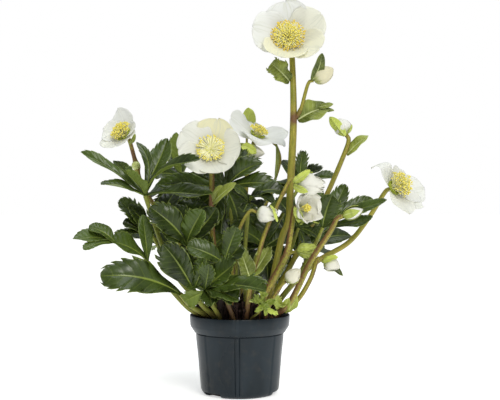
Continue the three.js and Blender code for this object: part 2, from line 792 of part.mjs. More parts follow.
// Each stem: its foot on the crown, the points that it passes, what it carries, its radius at foot
// and tip, and its side branches and the bracts that sheath it, which start inside it.
const STEMS = {
  stem_tall: {
    foot: [26, -6],
    via: [[34, -9, 112], [49, -10, 182], [58, -10, 208], [60, -10, 244], [64, -8, 327], [63, 4, 400]],
    carries: "flower_top",
    radii: [4.4, 3.2],
    branches: [
      { via: [[64, -8, 326], [72, -10, 337]], carries: "bud_top", radii: [2.4, 2] },
      { via: [[46, -10, 160], [55, -12, 164]], carries: "bud_green", radii: [2, 1.6] },
    ],
  },
  stem_front: {
    foot: [22, -24],
    via: [[30, -34, 122], [53, -36, 165], [60, -34, 196]],
    carries: "half_open_flower_lower",
    radii: [4.6, 2.6],
  },
  stem_forked: {
    foot: [8, -34],
    via: [[13, -45, 136], [22, -45, 168], [32, -45, 199]],
    carries: "half_open_flower_upper",
    radii: [3.6, 1.8],
    bracts: [
      { from: [13, -45, 138], tip: [0, -52, 178], facing: [0.3, -0.9, 0.2], width: 19 },
      { from: [15, -44, 144], tip: [35, -36, 176], facing: [-0.3, -0.9, 0.2], width: 18 },
    ],
  },
  stem_curled: {
    foot: [-10, -30],
    via: [[-8, -41, 140], [-5, -44, 178], [2, -48, 202]],
    carries: "bud_centre",
    radii: [2.6, 1.6],
  },
  stem_right_high: {
    foot: [28, 20],
    via: [[45, 20, 120], [62, 20, 152], [84, 22, 194], [106, 24, 237], [127, 23, 286]],
    carries: "bud_right_high",
    radii: [4, 2.6],
  },
  stem_right: {
    foot: [40, -14],
    via: [[60, -24, 112], [83, -30, 159], [105, -34, 193]],
    carries: "bud_right",
    radii: [4.4, 2.6],
  },
  stem_far_right: {
    foot: [38, 7],
    via: [[56, 9, 120], [91, 10, 155], [131, 12, 179], [156, 13, 209]],
    carries: "flower_right",
    radii: [3.8, 2.6],
  },
  stem_right_low: {
    foot: [44, -3],
    via: [[68, -9, 111], [84, -12, 137]],
    carries: "bud_right_low",
    radii: [3.2, 2.4],
    bracts: [{ from: [57, -6.5, 100], tip: [71, -16, 121], facing: [0.3, -0.9, 0.2], width: 14 }],
  },
  stem_bud_low: {
    foot: [30, -33],
    via: [[38, -46, 116]],
    carries: "bud_low",
    radii: [2.2, 1.5],
  },
  stem_centre: {
    foot: [-14, -8],
    via: [[-26, -13, 140], [-33, -16, 200], [-33, -14, 258]],
    carries: "flower_centre",
    radii: [3.8, 2.8],
    bracts: [
      { from: [-33, -15, 226], tip: [-4, -26, 251], facing: [-0.4, -0.7, 0.5], width: 15 },
      { from: [-33, -15, 228], tip: [-20, -30, 248], facing: [-0.4, -0.7, 0.5], width: 10 },
    ],
  },
  stem_left: {
    foot: [-22, 10],
    via: [[-50, 18, 140], [-88, 24, 200], [-118, 22, 245], [-127, 17, 277]],
    carries: "flower_left",
    radii: [3.6, 2.3],
    bracts: [{ from: [-127, 17, 276], tip: [-133, 2, 291], facing: [0, 0.8, 0.6], width: 13 }],
  },
  stem_back: {
    foot: [2, 18],
    via: [[5, 36, 170], [8, 46, 256]],
    carries: "flower_back",
    radii: [3.6, 2.6],
    branches: [
      { via: [[8, 46, 262], [1, 44, 280]], carries: "bud_back", radii: [2, 1.6] },
      { via: [[7, 44, 244], [8, 66, 276], [8, 86, 318]], radii: [2, 1.4] },
      { via: [[6, 40, 206], [32, 50, 226], [42, 52, 252], [48, 52, 280], [46, 50, 296]], radii: [1.6, 1] },
    ],
    bracts: [{ from: [8, 86, 316], tip: [11, 90, 350], facing: [0, -1, 0.2], width: 19 }],
  },
};

function stemSolid({ foot, via, carries, radii, branches = [], bracts = [] }) {
  const trunk = tube(stalkPath(foot, [...via, ...neck(carries)]), ...radii);
  return union([
    trunk,
    ...branches.map((branch) => tube([...branch.via, ...neck(branch.carries)], ...branch.radii)),
    ...bracts.map(bractSolid),
  ]);
}

// ---------------------------------------------------------------- bracts
// The small leaves on the flower stems, each one leaflet from foot to tip.
const BRACTS = {
  bract_tall_left: { from: [59.4, -2, 373], tip: [34, -14, 394], facing: [0, -1, 0.2], width: 22 },
  bract_tall_right: { from: [69, -8, 326], tip: [110, 2, 344], facing: [-0.2, -0.95, 0.3], width: 28 },
  bract_top_bud: { from: [80, -16, 374], tip: [90, -26, 405], facing: [0.8, -0.5, -0.2], width: 13 },
  bract_right_high: { from: [131, 25, 286], tip: [157, 22, 310], facing: [-0.5, -0.7, 0.4], width: 15 },
  bract_right_bud: { from: [128, 18, 309], tip: [109, 11, 332], facing: [0.3, 0.9, 0.3], width: 17 },
};

function bractSolid(spec) {
  return leaflet({ bow: 0.08, fold: 0.3, ...spec });
}

// ---------------------------------------------------------------- the plant in its pot
const plant = new THREE.Group();
plant.name = "potted_hellebore";

function add(name, solid, material) {
  const mesh = new THREE.Mesh(geometryOf(solid), MATERIALS[material]);
  mesh.name = name;
  plant.add(mesh);
}

for (const spec of Object.values(LEAVES)) {
  spec.leaflets ??= spread(spec.hub, spec.facing, spec.heading, spec.length);
}

const stalkHoles = [
  ...Object.values(LEAVES).map(({ foot, via, hub, radius = LEAF_STALK }) =>
    tube(stalkPath(foot, [...via, hub], 1), radius + 0.5 + GAP, radius - 0.4 + GAP, STALK_SIDES),
  ),
  ...Object.values(STEMS).map(({ foot, via, carries, radii }) =>
    tube(stalkPath(foot, [...via, ...neck(carries)], 1), radii[0] + GAP, radii[1] + GAP),
  ),
];

add("pot", potSolid(), "plastic");
add("compost", soilBlock().subtract(union([rootstockSolid(GAP), ...stalkHoles])), "compost");
add("rootstock", rootstockSolid(0), "rootstock");
for (const [name, spec] of Object.entries(LEAVES)) add(name, leafSolid(spec), "leaf");
for (const [name, spec] of Object.entries(STEMS)) add(name, stemSolid(spec), "stem");
for (const [name, spec] of Object.entries(FLOWERS)) {
  add(`${name}_sepals`, corollaSolid(spec), "sepal");
  add(`${name}_heart`, heartSolid(spec), "stamen");
}
for (const [name, spec] of Object.entries(BUDS)) add(name, budSolid(spec), "bud");
for (const [name, spec] of Object.entries(BRACTS)) add(name, bractSolid(spec), "bract");

export default plant;
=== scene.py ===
import math
import random
from functools import partial

import bpy
import numpy as np
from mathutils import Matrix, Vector, noise


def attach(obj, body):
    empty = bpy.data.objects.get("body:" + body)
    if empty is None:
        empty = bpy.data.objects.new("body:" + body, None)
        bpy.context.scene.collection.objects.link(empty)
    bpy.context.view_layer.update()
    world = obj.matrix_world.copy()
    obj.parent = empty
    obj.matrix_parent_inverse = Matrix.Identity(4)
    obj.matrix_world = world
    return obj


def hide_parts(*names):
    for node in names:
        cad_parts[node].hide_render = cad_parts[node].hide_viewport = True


# A flowering hellebore in its nursery pot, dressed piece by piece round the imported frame.
# Places are in millimetres in the frame's own axes: the front is -Y, +X is to the right, Z is up.

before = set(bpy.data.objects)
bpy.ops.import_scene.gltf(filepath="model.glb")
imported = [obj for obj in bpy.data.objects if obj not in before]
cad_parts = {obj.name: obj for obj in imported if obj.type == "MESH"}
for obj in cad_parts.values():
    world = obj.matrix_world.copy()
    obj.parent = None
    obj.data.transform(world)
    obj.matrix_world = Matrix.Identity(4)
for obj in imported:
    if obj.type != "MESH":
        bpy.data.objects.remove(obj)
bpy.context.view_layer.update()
mm = 0.001
print("frame loaded:", len(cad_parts), "nodes")

# short names of nodes: type, the inputs that its values go to, the output that is used, settings
nodeKinds = {
    "mix": ("Mix", (0, 6, 7), 2, {"data_type": "RGBA"}),
    "mixValues": ("Mix", (0, 2, 3), 0, {}),
    "between": ("MapRange", range(5), 0, {"interpolation_type": "SMOOTHSTEP"}),
    "scale": ("VectorMath", (0, "Scale"), 0, {"operation": "SCALE"}),
    "random": ("RandomValue", (2, 3, "Seed"), 1, {}),
    "randomVector": ("RandomValue", (0, 1, "Seed"), 0, {"data_type": "FLOAT_VECTOR"}),
}
for word in ("add", "subtract", "multiply", "divide", "power", "absolute", "fract", "sqrt", "sine", "cosine"):
    nodeKinds[word] = ("Math", (0, 1), 0, {"operation": word.upper()})


def paint(code):
    # an sRGB hex colour as the linear one that a shader wants
    parts = [int(code[i:i + 2], 16) / 255 for i in (1, 3, 5)]
    return (*[c / 12.92 if c <= 0.04045 else ((c + 0.055) / 1.055) ** 2.4 for c in parts], 1)


def addNode(tree, kind, *values, out=None, **settings):
    # a node, of which one output is returned; a value is a number, a colour or another node's output, and goes
    # to the next input, or to the one that it names if it stands in a dictionary at the end
    kind, inputs, used, fixed = nodeKinds.get(kind, (kind, range(9), 0, {}))
    family = next(f for f in ("ShaderNode", "GeometryNode", "FunctionNode") if hasattr(bpy.types, f + kind))
    node = tree.nodes.new(family + kind)
    for name, value in {**fixed, **settings}.items():
        setattr(node, name, value)
    *values, named = values if values and isinstance(values[-1], dict) else (*values, {})
    for socket, value in {**dict(zip(inputs, values)), **named}.items():
        if isinstance(value, bpy.types.NodeSocket):
            tree.links.new(value, node.inputs[socket])
        else:
            painted = isinstance(value, str) and value.startswith("#")
            node.inputs[socket].default_value = paint(value) if painted else value
    return node.outputs[used if out is None else out] if node.outputs else node


def blankMaterial(name, **finish):
    material = bpy.data.materials.new(name)
    material.use_nodes = True
    inputs = material.node_tree.nodes["Principled BSDF"].inputs
    for socket, value in finish.items():
        inputs[socket.replace("_", " ")].default_value = value
    return material, partial(addNode, material.node_tree)


def finishMaterial(material, colour, relief, depth, strength=1.0, gloss=None, through=0.0):
    # links the colour, a relief that is depth mm deep, and the roughness where it varies; through: the share of
    # the light that goes through a thin sheet and glows on its far side
    tree = material.node_tree
    shader = tree.nodes["Principled BSDF"]
    tree.links.new(colour, shader.inputs["Base Color"])
    raised = addNode(tree, "Bump", {"Height": relief, "Distance": depth * mm, "Strength": strength})
    tree.links.new(raised, shader.inputs["Normal"])
    if gloss:
        tree.links.new(gloss, shader.inputs["Roughness"])
    if through:
        both = addNode(tree, "MixShader", through, shader.outputs[0], addNode(tree, "BsdfTranslucent", colour))
        tree.links.new(both, tree.nodes["Material Output"].inputs[0])
    return material


def grains(add, size, detail=2, stretch=(1, 1, 1)):
    # noise in the piece's own space, whose lumps are size mm across
    place = add("Mapping", {0: add("TexCoord", out="Object"), 3: stretch})
    return add("TexNoise", {"Vector": place, "Scale": 1 / (2 * size * mm), "Detail": detail})


def streaks(add, across, along, detail):
    # noise drawn out along a sheet or a stalk: how many lumps fit on it across and along
    place = add("Mapping", {0: add("UVMap", uv_map="blade"), 3: (across, along, 1)})
    return add("TexNoise", {"Vector": place, "Scale": 1, "Detail": detail})


def measured(add, *names):
    # values that the mesh holds for the material: the UV map's two, then the named ones
    place = add("SeparateXYZ", add("UVMap", uv_map="blade")).node.outputs
    return [place[0], place[1], *[add("Attribute", out="Fac", attribute_name=name) for name in names]]


def offMiddle(add, value):
    # how far a share lies from one half
    return add("absolute", add("subtract", value, 0.5))


def makePotPlastic():
    # injection-moulded polypropylene: dark slate, satin, with faint flow marks and scuffs that catch light
    material, add = blankMaterial("moulded polypropylene", IOR=1.49, Specular_IOR_Level=0.22)
    cloud = grains(add, 14, 3, (1, 1, 0.35))
    colour = add("mix", add("between", cloud, 0.35, 0.7), "#1a2227", "#232c32")
    dust = add("between", grains(add, 5, 5), 0.52, 0.75)
    colour = add("mix", add("multiply", dust, 0.16), colour, "#4c463c")
    gloss = add("between", cloud, 0.3, 0.8, 0.26, 0.42)
    return finishMaterial(material, colour, grains(add, 0.9, 3), 0.05, 0.6, gloss)


def makePeat():
    # moist sphagnum peat: near black, matt, with rust-brown fibres showing
    material, add = blankMaterial("moist peat", Roughness=0.95, IOR=1.4)
    colour = add("mix", add("between", grains(add, 1.8, 4), 0.38, 0.62), "#070504", "#1a100a")
    fibres = add("between", grains(add, 0.9, 2, (1, 0.3, 1)), 0.64, 0.72)
    return finishMaterial(material, add("mix", fibres, colour, "#603f28"), grains(add, 0.8, 4), 0.6)


def makeBark():
    # corky skin of an old rootstock: dull brown, ringed and rough
    material, add = blankMaterial("rootstock bark", Roughness=0.85, IOR=1.45)
    rings = grains(add, 2.2, 4, (0.4, 0.4, 1.6))
    colour = add("mix", add("between", rings, 0.35, 0.65), "#2c1d13", "#6b4c33")
    return finishMaterial(material, colour, rings, 0.5)


def makeBlade(name, dark, light, ribColour, underColour, roughness, veinShow, ribShow=0.8, underPalenessAndLitThrough=0.45):
    # waxy leaf skin: deep olive green under a clear gloss that mirrors the light above, with pale ribs and a dull
    # under side whose paler olive is partly its own colour and partly painted light shining through
    material, add = blankMaterial(name, IOR=1.45, Specular_IOR_Level=0.4)
    across, teeth, upper, tint, along = measured(add, "upper", "tint", "along")
    off = offMiddle(add, across)
    # the midrib is about 2 mm wide at the foot and fades towards the tip
    midrib = add("subtract", 1, add("divide", off, add("between", along, 0, 1, 0.075, 0.022)))
    midrib = add("multiply", add("between", midrib, 0, 0.7), add("between", along, 0.1, 1, 1, 0.45))
    sideVein = add("between", offMiddle(add, add("fract", teeth)), 0, 0.11, 1, 0)
    sideVein = add("multiply", sideVein, add("between", off, 0.5, 0.3, 0.1, 1))
    margin = add("between", off, 0.455, 0.5)
    cloud = add("between", grains(add, 11, 3), 0.3, 0.7)
    patches = add("add", add("multiply", tint, 0.65), add("multiply", cloud, 0.35))
    colour = add("mix", patches, dark, light)
    for pattern, shown in ((sideVein, veinShow), (midrib, ribShow), (margin, 0.5)):
        colour = add("mix", add("multiply", pattern, shown), colour, ribColour)
    # the under side leans to the light green: partly its own paler colour, partly painted light shining through
    # the leaf
    underPaleAndLitThroughColour = tuple(a + (b - a) * underPalenessAndLitThrough for a, b in zip(paint(underColour), paint(light)))
    under = add("mix", patches, underColour, underPaleAndLitThroughColour)
    for pattern, shown, shade in ((midrib, 0.6, ribColour), (sideVein, 0.3, dark)):
        under = add("mix", add("multiply", pattern, shown), under, shade)
    gloss = add("add", add("between", grains(add, 5, 3), 0.3, 0.7, -0.05, 0.1), roughness)
    gloss = add("mixValues", upper, 0.55, gloss)
    return finishMaterial(material, add("mix", upper, under, colour), grains(add, 0.8), 0.1, 0.6, gloss)


def makeStalk(name, pale, green, red, roughness=0.42):
    # fleshy stalk skin: yellow-green, satin, freckled and flushed with red-brown at joints and on one side, where
    # the red is partly the stalk's own flush and partly painted shade
    material, add = blankMaterial(name, Roughness=roughness, IOR=1.42, Specular_IOR_Level=0.35)
    flush, tint = (add("Attribute", out="Fac", attribute_name=name) for name in ("flush", "tint"))
    fibres = streaks(add, 9, 40, 3)
    colour = add("mix", add("between", fibres, 0.3, 0.7), green, pale)
    freckles = add("between", grains(add, 0.5, 2, (1, 1, 0.45)), 0.5, 0.6)
    colour = add("mix", add("multiply", freckles, add("between", tint, 0, 1, 0.2, 0.8)), colour, red)
    cloudy = add("multiply", add("subtract", grains(add, 2.5), 0.5), 0.5)
    reddened = add("between", add("add", flush, cloudy), 0.1, 0.85, 0, 0.85)
    return finishMaterial(material, add("mix", reddened, colour, red), fibres, 0.12, 0.7)


def makeSepal():
    # petal-like sepal: thin, matt white with a cream or green breath, lit through, fine veins fanning out
    material, add = blankMaterial("hellebore sepal", Roughness=0.55, IOR=1.4, Sheen_Weight=0.12)
    across, along, tint, upper = measured(add, "tint", "upper")
    veins = streaks(add, 20, 1.6, 2)
    colour = add("mix", tint, "#f2f3f2", "#f2eec6")
    for share, shade in (
        (add("between", along, 0, 0.3, 0.55, 0), "#d9dda6"),  # the green foot
        (add("between", veins, 0.5, 0.7, 0, 0.5), "#dddfd3"),
        (add("between", offMiddle(add, across), 0.46, 0.5, 0, 0.5), "#f3f3ec"),  # the margin
        (add("between", upper, 0, 1, 0.45, 0), "#e9e7c4"),  # the back
    ):
        colour = add("mix", share, colour, shade)
    return finishMaterial(material, colour, veins, 0.18, 0.8, through=0.38)


def makeSpeckled(name, first, second, size, roughness, subsurface=0.0, outerFirst=None, outerSecond=None):
    # small soft flower parts: two close colours in fine patches, and two others towards the ring's outside
    material, add = blankMaterial(name, Roughness=roughness, IOR=1.4, Subsurface_Weight=subsurface,
                                  Subsurface_Radius=(0.001, 0.001, 0.0005))
    patches = add("between", grains(add, size, 3), 0.35, 0.65)
    colour = add("mix", patches, first, second)
    if outerFirst:
        outward = add("between", add("Attribute", out="Fac", attribute_name="tint"), 0.6, 1)
        colour = add("mix", outward, colour, add("mix", patches, outerFirst, outerSecond))
    return finishMaterial(material, colour, grains(add, size * 0.3), 0.08)


def makeBudSkin():
    # closed sepals of a bud: cream white, satin, greening towards the foot
    material, add = blankMaterial("bud sepal", Roughness=0.45, IOR=1.4)
    _, along, tint, flush = measured(add, "tint", "flush")
    veins = streaks(add, 12, 1.2, 2)
    green = add("add", add("between", along, 0.05, 0.4, 0.8, 0), flush)
    green = add("add", green, add("between", veins, 0.45, 0.75, -0.1, 0.25))
    colour = add("mix", add("between", green, 0.1, 1), add("mix", tint, "#f4f4ee", "#e7e0b6"), "#a8b25a")
    return finishMaterial(material, colour, veins, 0.15, 0.8, through=0.25)


materials = {
    "pot": makePotPlastic(),
    "peat": makePeat(),
    "bark": makeBark(),
    "leaf": makeBlade("hellebore leaf", "#111a08", "#4b5e20", "#93a246", "#6b7b2c", 0.29, 0.1, 0.75),
    "paleLeaf": makeBlade("young hellebore leaf", "#54681a", "#bccb55", "#d3da8c", "#a3ac66", 0.42, 0.2),
    "bract": makeBlade("hellebore bract", "#384612", "#c2ce5e", "#d2d99c", "#78883a", 0.42, 0.16, 0.8, 1.0),
    # near-black dead sheaths: partly their own colour, partly painted shade that fills the gaps between the stalk
    # feet
    "sheath": makeBlade("shade-darkened withered sheath", "#0e0906", "#2c1c12", "#4a3020", "#1c120b", 0.75, 0.3, 0.3),
    "leafStalk": makeStalk("leaf stalk skin", "#93993f", "#6c7728", "#603e32"),
    # dark old leaf bases: partly their own dead brown, partly painted shade that darkens the crown between the
    # stalks
    "oldBase": makeStalk("shade-darkened withered leaf base", "#46302a", "#21150f", "#110a08", 0.8),
    "stem": makeStalk("flower stem skin", "#a69b40", "#7e822a", "#684234"),
    "sepal": makeSepal(),
    "bud": makeBudSkin(),
    "filament": makeSpeckled("stamen filament", "#ebe6a0", "#f1eec8", 1.2, 0.5, 0.1, "#f2f0dc", "#f5f4ea"),
    "anther": makeSpeckled("pollen-dusted anther", "#e2cf44", "#f1e880", 0.7, 0.8, 0.0, "#dcb02c", "#e8cc4c"),
    "nectary": makeSpeckled("nectary horn", "#b8c240", "#8c9834", 1.5, 0.35),
    "carpel": makeSpeckled("carpel and style", "#cfcf5e", "#e3df8e", 1.5, 0.45, 0.1),
}
print("materials made:", len(materials))


def readColumn(holder, key, count, width=1):
    column = np.empty(count * width, np.float32)
    holder.foreach_get(key, column)
    return column.reshape(-1, width) if width > 1 else column


class Bag:
    # gathers closed shells, in mm, into one piece

    def __init__(self):
        self.points, self.faces, self.uvs, self.slots, self.count = [], [], [], [], 0
        self.values = {"tint": [], "upper": [], "flush": [], "along": []}

    def add(self, points, faces, uvs=None, material=0, tint=0.0, upper=1.0, flush=0.0, along=0.0):
        count = len(points)
        self.points.append(np.asarray(points, float))
        self.faces += [[i + self.count for i in face] for face in faces]
        self.uvs.append(np.zeros((count, 2)) if uvs is None else np.asarray(uvs, float))
        for column, value in zip(self.values.values(), (tint, upper, flush, along)):
            column.append(np.broadcast_to(np.asarray(value, float), (count,)))
        self.slots += [material] * len(faces)
        self.count += count

    def build(self, name, materialNames):
        mesh = bpy.data.meshes.new(name)
        mesh.from_pydata((np.concatenate(self.points) * mm).tolist(), [], self.faces)
        corners = np.empty(len(mesh.loops), np.int32)
        mesh.loops.foreach_get("vertex_index", corners)
        uvs = np.concatenate(self.uvs)[corners].astype(np.float32)
        mesh.uv_layers.new(name="blade").data.foreach_set("uv", uvs.ravel())
        for key, parts in self.values.items():
            column = mesh.attributes.new(key, "FLOAT", "POINT")
            column.data.foreach_set("value", np.concatenate(parts).astype(np.float32))
        mesh.polygons.foreach_set("material_index", self.slots)
        mesh.polygons.foreach_set("use_smooth", [True] * len(mesh.polygons))
        for key in materialNames:
            mesh.materials.append(materials[key])
        return link(name, mesh)


def link(name, data):
    thing = bpy.data.objects.new(name, data)
    bpy.context.scene.collection.objects.link(thing)
    return thing


def unit(v):
    v = np.asarray(v, float)
    return v / np.linalg.norm(v)


def smoothPath(points, perStretch):
    # the same curve as the frame's stalks follow: uniform Catmull-Rom through the points
    p = [np.asarray(q, float) for q in points]
    p = [2 * p[0] - p[1], *p, 2 * p[-1] - p[-2]]
    line = []
    for before, start, end, after in zip(p, p[1:], p[2:], p[3:]):
        leave, arrive, ahead = 0.5 * (end - before), 0.5 * (after - start), end - start
        for k in range(perStretch):
            t = k / perStretch
            line.append(start + leave * t + (3 * ahead - 2 * leave - arrive) * t * t
                        + (leave + arrive - 2 * ahead) * t ** 3)
    return np.array([*line, p[-2]])


def ringFaces(rings, segments, first=0):
    # the skin between rings of points that are numbered one after the other
    faces = []
    for a in range(first, first + (rings - 1) * segments, segments):
        for k in range(segments):
            n = (k + 1) % segments
            faces.append([a + k, a + n, a + segments + n, a + segments + k])
    return faces


def closedSheet(upper, lower, tipPoint=None):
    # two grids of points, the upper and the lower face of one thin sheet, as a closed shell; tipPoint closes the
    # far end to a point, and without it the last rows are joined
    rows, columns, _ = upper.shape
    size = rows * columns
    points = np.concatenate([upper.reshape(-1, 3), lower.reshape(-1, 3)])
    faces, under = [], []
    for r in range(rows - 1):
        for a in range(r * columns, (r + 1) * columns - 1):
            quad = [a, a + 1, a + 1 + columns, a + columns]
            faces.append(quad)
            under.append([i + size for i in quad[::-1]])
    faces += under
    for left in range(0, size - columns, columns):
        right = left + columns - 1
        faces.append([left + columns, left + columns + size, left + size, left])
        faces.append([right, right + size, right + columns + size, right + columns])
    last = size - columns
    for c in range(columns - 1):
        faces.append([c + 1, c, c + size, c + 1 + size])
        if tipPoint is None:
            faces.append([last + c, last + c + 1, last + c + 1 + size, last + c + size])
    if tipPoint is not None:
        tip = len(points)
        points = np.concatenate([points, [tipPoint]])
        for c in range(columns - 1):
            faces.append([last + c, last + c + 1, tip])
            faces.append([last + c + 1 + size, last + c + size, tip])
        faces.append([last, tip, last + size])
        faces.append([last + columns - 1, last + columns - 1 + size, tip])
    return points, faces


def makeTree(name, inputs):
    # a tree with the named inputs, given as kind: labels; returns what adds its nodes, and its input sockets
    tree = bpy.data.node_groups.new(name, "GeometryNodeTree")
    for kind, labels in {"Geometry": "Geometry", **inputs}.items():
        for label in labels.split(", "):
            tree.interface.new_socket(label, in_out="INPUT", socket_type=f"NodeSocket{kind}")
    tree.interface.new_socket("Geometry", in_out="OUTPUT", socket_type="NodeSocketGeometry")
    return partial(addNode, tree), tree.nodes.new("NodeGroupInput").outputs


def realise(add, geometry, material):
    return add("SetMaterial", {0: add("RealizeInstances", geometry), "Material": material})


def finishTree(geometry):
    tree = geometry.id_data
    tree.links.new(geometry, tree.nodes.new("NodeGroupOutput").inputs[0])
    return tree


def runTree(tree, source, values):
    # runs the tree on a curve or mesh datablock and returns the plain mesh that it makes
    holder = link("holder", source)
    modifier = holder.modifiers.new("shape", "NODES")
    modifier.node_group = tree
    for socket in tree.interface.items_tree:
        if socket.in_out == "INPUT" and socket.name in values:
            modifier[socket.identifier] = values[socket.name]
    bpy.context.view_layer.update()
    evaluated = holder.evaluated_get(bpy.context.evaluated_depsgraph_get())
    mesh = bpy.data.meshes.new_from_object(evaluated)
    bpy.data.objects.remove(holder)
    return mesh


def meshArrays(mesh):
    points = readColumn(mesh.vertices, "co", len(mesh.vertices), 3)
    return points.astype(float) / mm, [list(p.vertices) for p in mesh.polygons]


def stalkTree():
    # a ribbed skin round a curve, whose own radius makes it thick or thin
    add, given = makeTree("stalkSkin", {
        "Int": "Sides, Ribs", "Float": "Ring spacing, Rib depth", "Material": "Material"})
    line = add("ResampleCurve", {0: given["Geometry"], 3: given["Ring spacing"]}, mode="LENGTH")
    along = add("SplineParameter", out="Length")
    line = add("StoreNamedAttribute", {0: line, "Name": "along", "Value": along})
    circle = add("CurvePrimitiveCircle", {"Resolution": given["Sides"], "Radius": 1.0})
    turn = add("SplineParameter", out="Factor")
    circle = add("StoreNamedAttribute", {0: circle, "Name": "around", "Value": turn})
    skin = add("CurveToMesh", line, circle, {"Scale": add("InputRadius"), "Fill Caps": True})
    around = add("InputNamedAttribute", "around", data_type="FLOAT")
    angle = add("multiply", add("multiply", around, given["Ribs"]), 2 * math.pi)
    depth = add("multiply", add("cosine", angle), given["Rib depth"])
    skin = add("SetPosition", skin, {"Offset": add("scale", add("InputNormal"), depth)})
    return finishTree(realise(add, skin, given["Material"]))


def stamenTree():
    # filaments in a golden-angle spiral: each starts near the middle, rises and leans out to its anther
    add, given = makeTree("stamenTuft", {
        "Int": "Count, Seed", "Material": "Filament, Anther",
        "Float": "Foot radius, Reach, Height, Hollow, Uneven, Ring tint, Spread, Filament radius, Anther length, "
                 "Anther width"})

    def seed(extra):
        return add("add", given["Seed"], extra)

    index = add("InputIndex")
    share = add("sqrt", add("divide", add("add", index, 0.5), given["Count"]))
    goldenAngle = math.pi * (3 - math.sqrt(5))
    angle = add("add", add("multiply", index, goldenAngle), add("random", -0.12, 0.12, given["Seed"]))
    cosine, sine = add("cosine", angle), add("sine", angle)

    def ringPoint(radius, height):
        return add("CombineXYZ", add("multiply", cosine, radius), add("multiply", sine, radius), height)

    spreadOut = add("multiply", add("power", share, given["Spread"]), add("random", 0.88, 1.06, seed(5)))
    dip = add("subtract", 1.0, add("multiply", add("power", share, 3), given["Hollow"]))
    height = add("multiply", add("multiply", dip, given["Height"]), add("random", given["Uneven"], 1.08, seed(9)))
    points = add("Points", given["Count"])
    for name, value, kind in (
        ("foot", ringPoint(add("multiply", share, given["Foot radius"]), 0.0), "FLOAT_VECTOR"),
        ("tip", ringPoint(add("multiply", spreadOut, given["Reach"]), height), "FLOAT_VECTOR"),
        ("share", add("multiply", share, given["Ring tint"]), "FLOAT"),
    ):
        points = add("StoreNamedAttribute", {0: points, "Name": name, "Value": value}, data_type=kind)
    foot, tip = (add("InputNamedAttribute", name, data_type="FLOAT_VECTOR") for name in ("foot", "tip"))

    line = add("CurvePrimitiveLine", {"Start": (0, 0, 0), "End": (0, 0, 1)})
    line = add("ResampleCurve", {0: line, "Count": 6})
    lines = add("RealizeInstances", add("InstanceOnPoints", {0: points, "Instance": line}))
    t = add("SplineParameter", out="Factor")
    outward = add("power", t, 1.7)
    rise = add("subtract", 1.0, add("power", add("subtract", 1.0, t), 1.5))
    footPlace, tipPlace = (add("SeparateXYZ", end).node.outputs for end in (foot, tip))
    place = add("CombineXYZ", add("mixValues", outward, footPlace[0], tipPlace[0]),
                add("mixValues", outward, footPlace[1], tipPlace[1]), add("multiply", rise, tipPlace[2]))
    lines = add("SetPosition", lines, {"Position": place})
    ring = add("CurvePrimitiveCircle", {"Resolution": 5, "Radius": given["Filament radius"]})
    threads = add("CurveToMesh", lines, ring, {"Fill Caps": True})
    threads = add("SetMaterial", threads, {"Material": given["Filament"]})

    ball = add("MeshUVSphere", {"Segments": 6, "Rings": 5, "Radius": 0.5})
    lean = add("VectorMath", tip, foot, operation="SUBTRACT")
    wobble = add("EulerToRotation", add("randomVector", (-0.7, -0.7, -3), (0.7, 0.7, 3), seed(3)))
    facing = add("RotateRotation", add("AlignRotationToVector", {"Vector": lean}, axis="Z"), wobble,
                 rotation_space="LOCAL")
    size = add("CombineXYZ", given["Anther width"], add("multiply", given["Anther width"], 0.7),
               given["Anther length"])
    anthers = add("InstanceOnPoints", {
        0: add("SetPosition", points, {"Position": tip}), "Instance": ball, "Rotation": facing,
        "Scale": add("scale", size, add("random", 0.75, 1.15, seed(7)))})
    both = add("JoinGeometry", threads)
    both.id_data.links.new(realise(add, anthers, given["Anther"]), both.node.inputs[0])
    return finishTree(both)


def hornTree():
    # a ring of small horns that lean outwards: nectaries round the stamens, or carpels in the middle
    add, given = makeTree("hornRing", {
        "Int": "Count, Seed", "Float": "Ring radius, Lean, Length, Foot width, Mouth width",
        "Material": "Material"})
    angle = add("multiply", add("divide", add("InputIndex"), given["Count"]), 2 * math.pi)
    angle = add("add", angle, add("random", -0.1, 0.1, given["Seed"]))
    cosine, sine = add("cosine", angle), add("sine", angle)
    place, lean = (add("CombineXYZ", add("multiply", cosine, out), add("multiply", sine, out), up)
                   for out, up in ((given["Ring radius"], 0.0), (given["Lean"], 1.0)))
    horn = add("MeshCone", {
        "Vertices": 8, "Side Segments": 3, "Radius Top": given["Mouth width"],
        "Radius Bottom": given["Foot width"], "Depth": given["Length"]})
    horns = add("InstanceOnPoints", {
        0: add("SetPosition", add("Points", given["Count"]), {"Position": place}), "Instance": horn,
        "Rotation": add("AlignRotationToVector", {"Vector": lean}, axis="Z"),
        "Scale": add("random", 0.85, 1.12, add("add", given["Seed"], 2))})
    return finishTree(realise(add, horns, given["Material"]))


def crumbTree():
    # crumbs or fibres scattered over a surface
    add, given = makeTree("peatCrumbs", {
        "Float": "Density, Smallest, Largest, Tumble", "Vector": "Stretch", "Int": "Seed",
        "Material": "Material"})
    spots = add("DistributePointsOnFaces", {key: given[key or "Geometry"] for key in (0, "Density", "Seed")})
    chance = add("random", 0.0, 1.0, add("add", given["Seed"], 4))
    size = add("mixValues", add("power", chance, 2.5), given["Smallest"], given["Largest"])
    tumble = add("VectorMath", add("randomVector", (-1, -1, -3.2), (1, 1, 3.2), add("add", given["Seed"], 6)),
                 add("CombineXYZ", given["Tumble"], given["Tumble"], 1.0), operation="MULTIPLY")
    crumbs = add("InstanceOnPoints", {
        0: spots, "Instance": add("MeshIcoSphere", {"Radius": 0.5, "Subdivisions": 1}),
        "Rotation": add("EulerToRotation", tumble), "Scale": add("scale", given["Stretch"], size)})
    return finishTree(realise(add, crumbs, given["Material"]))


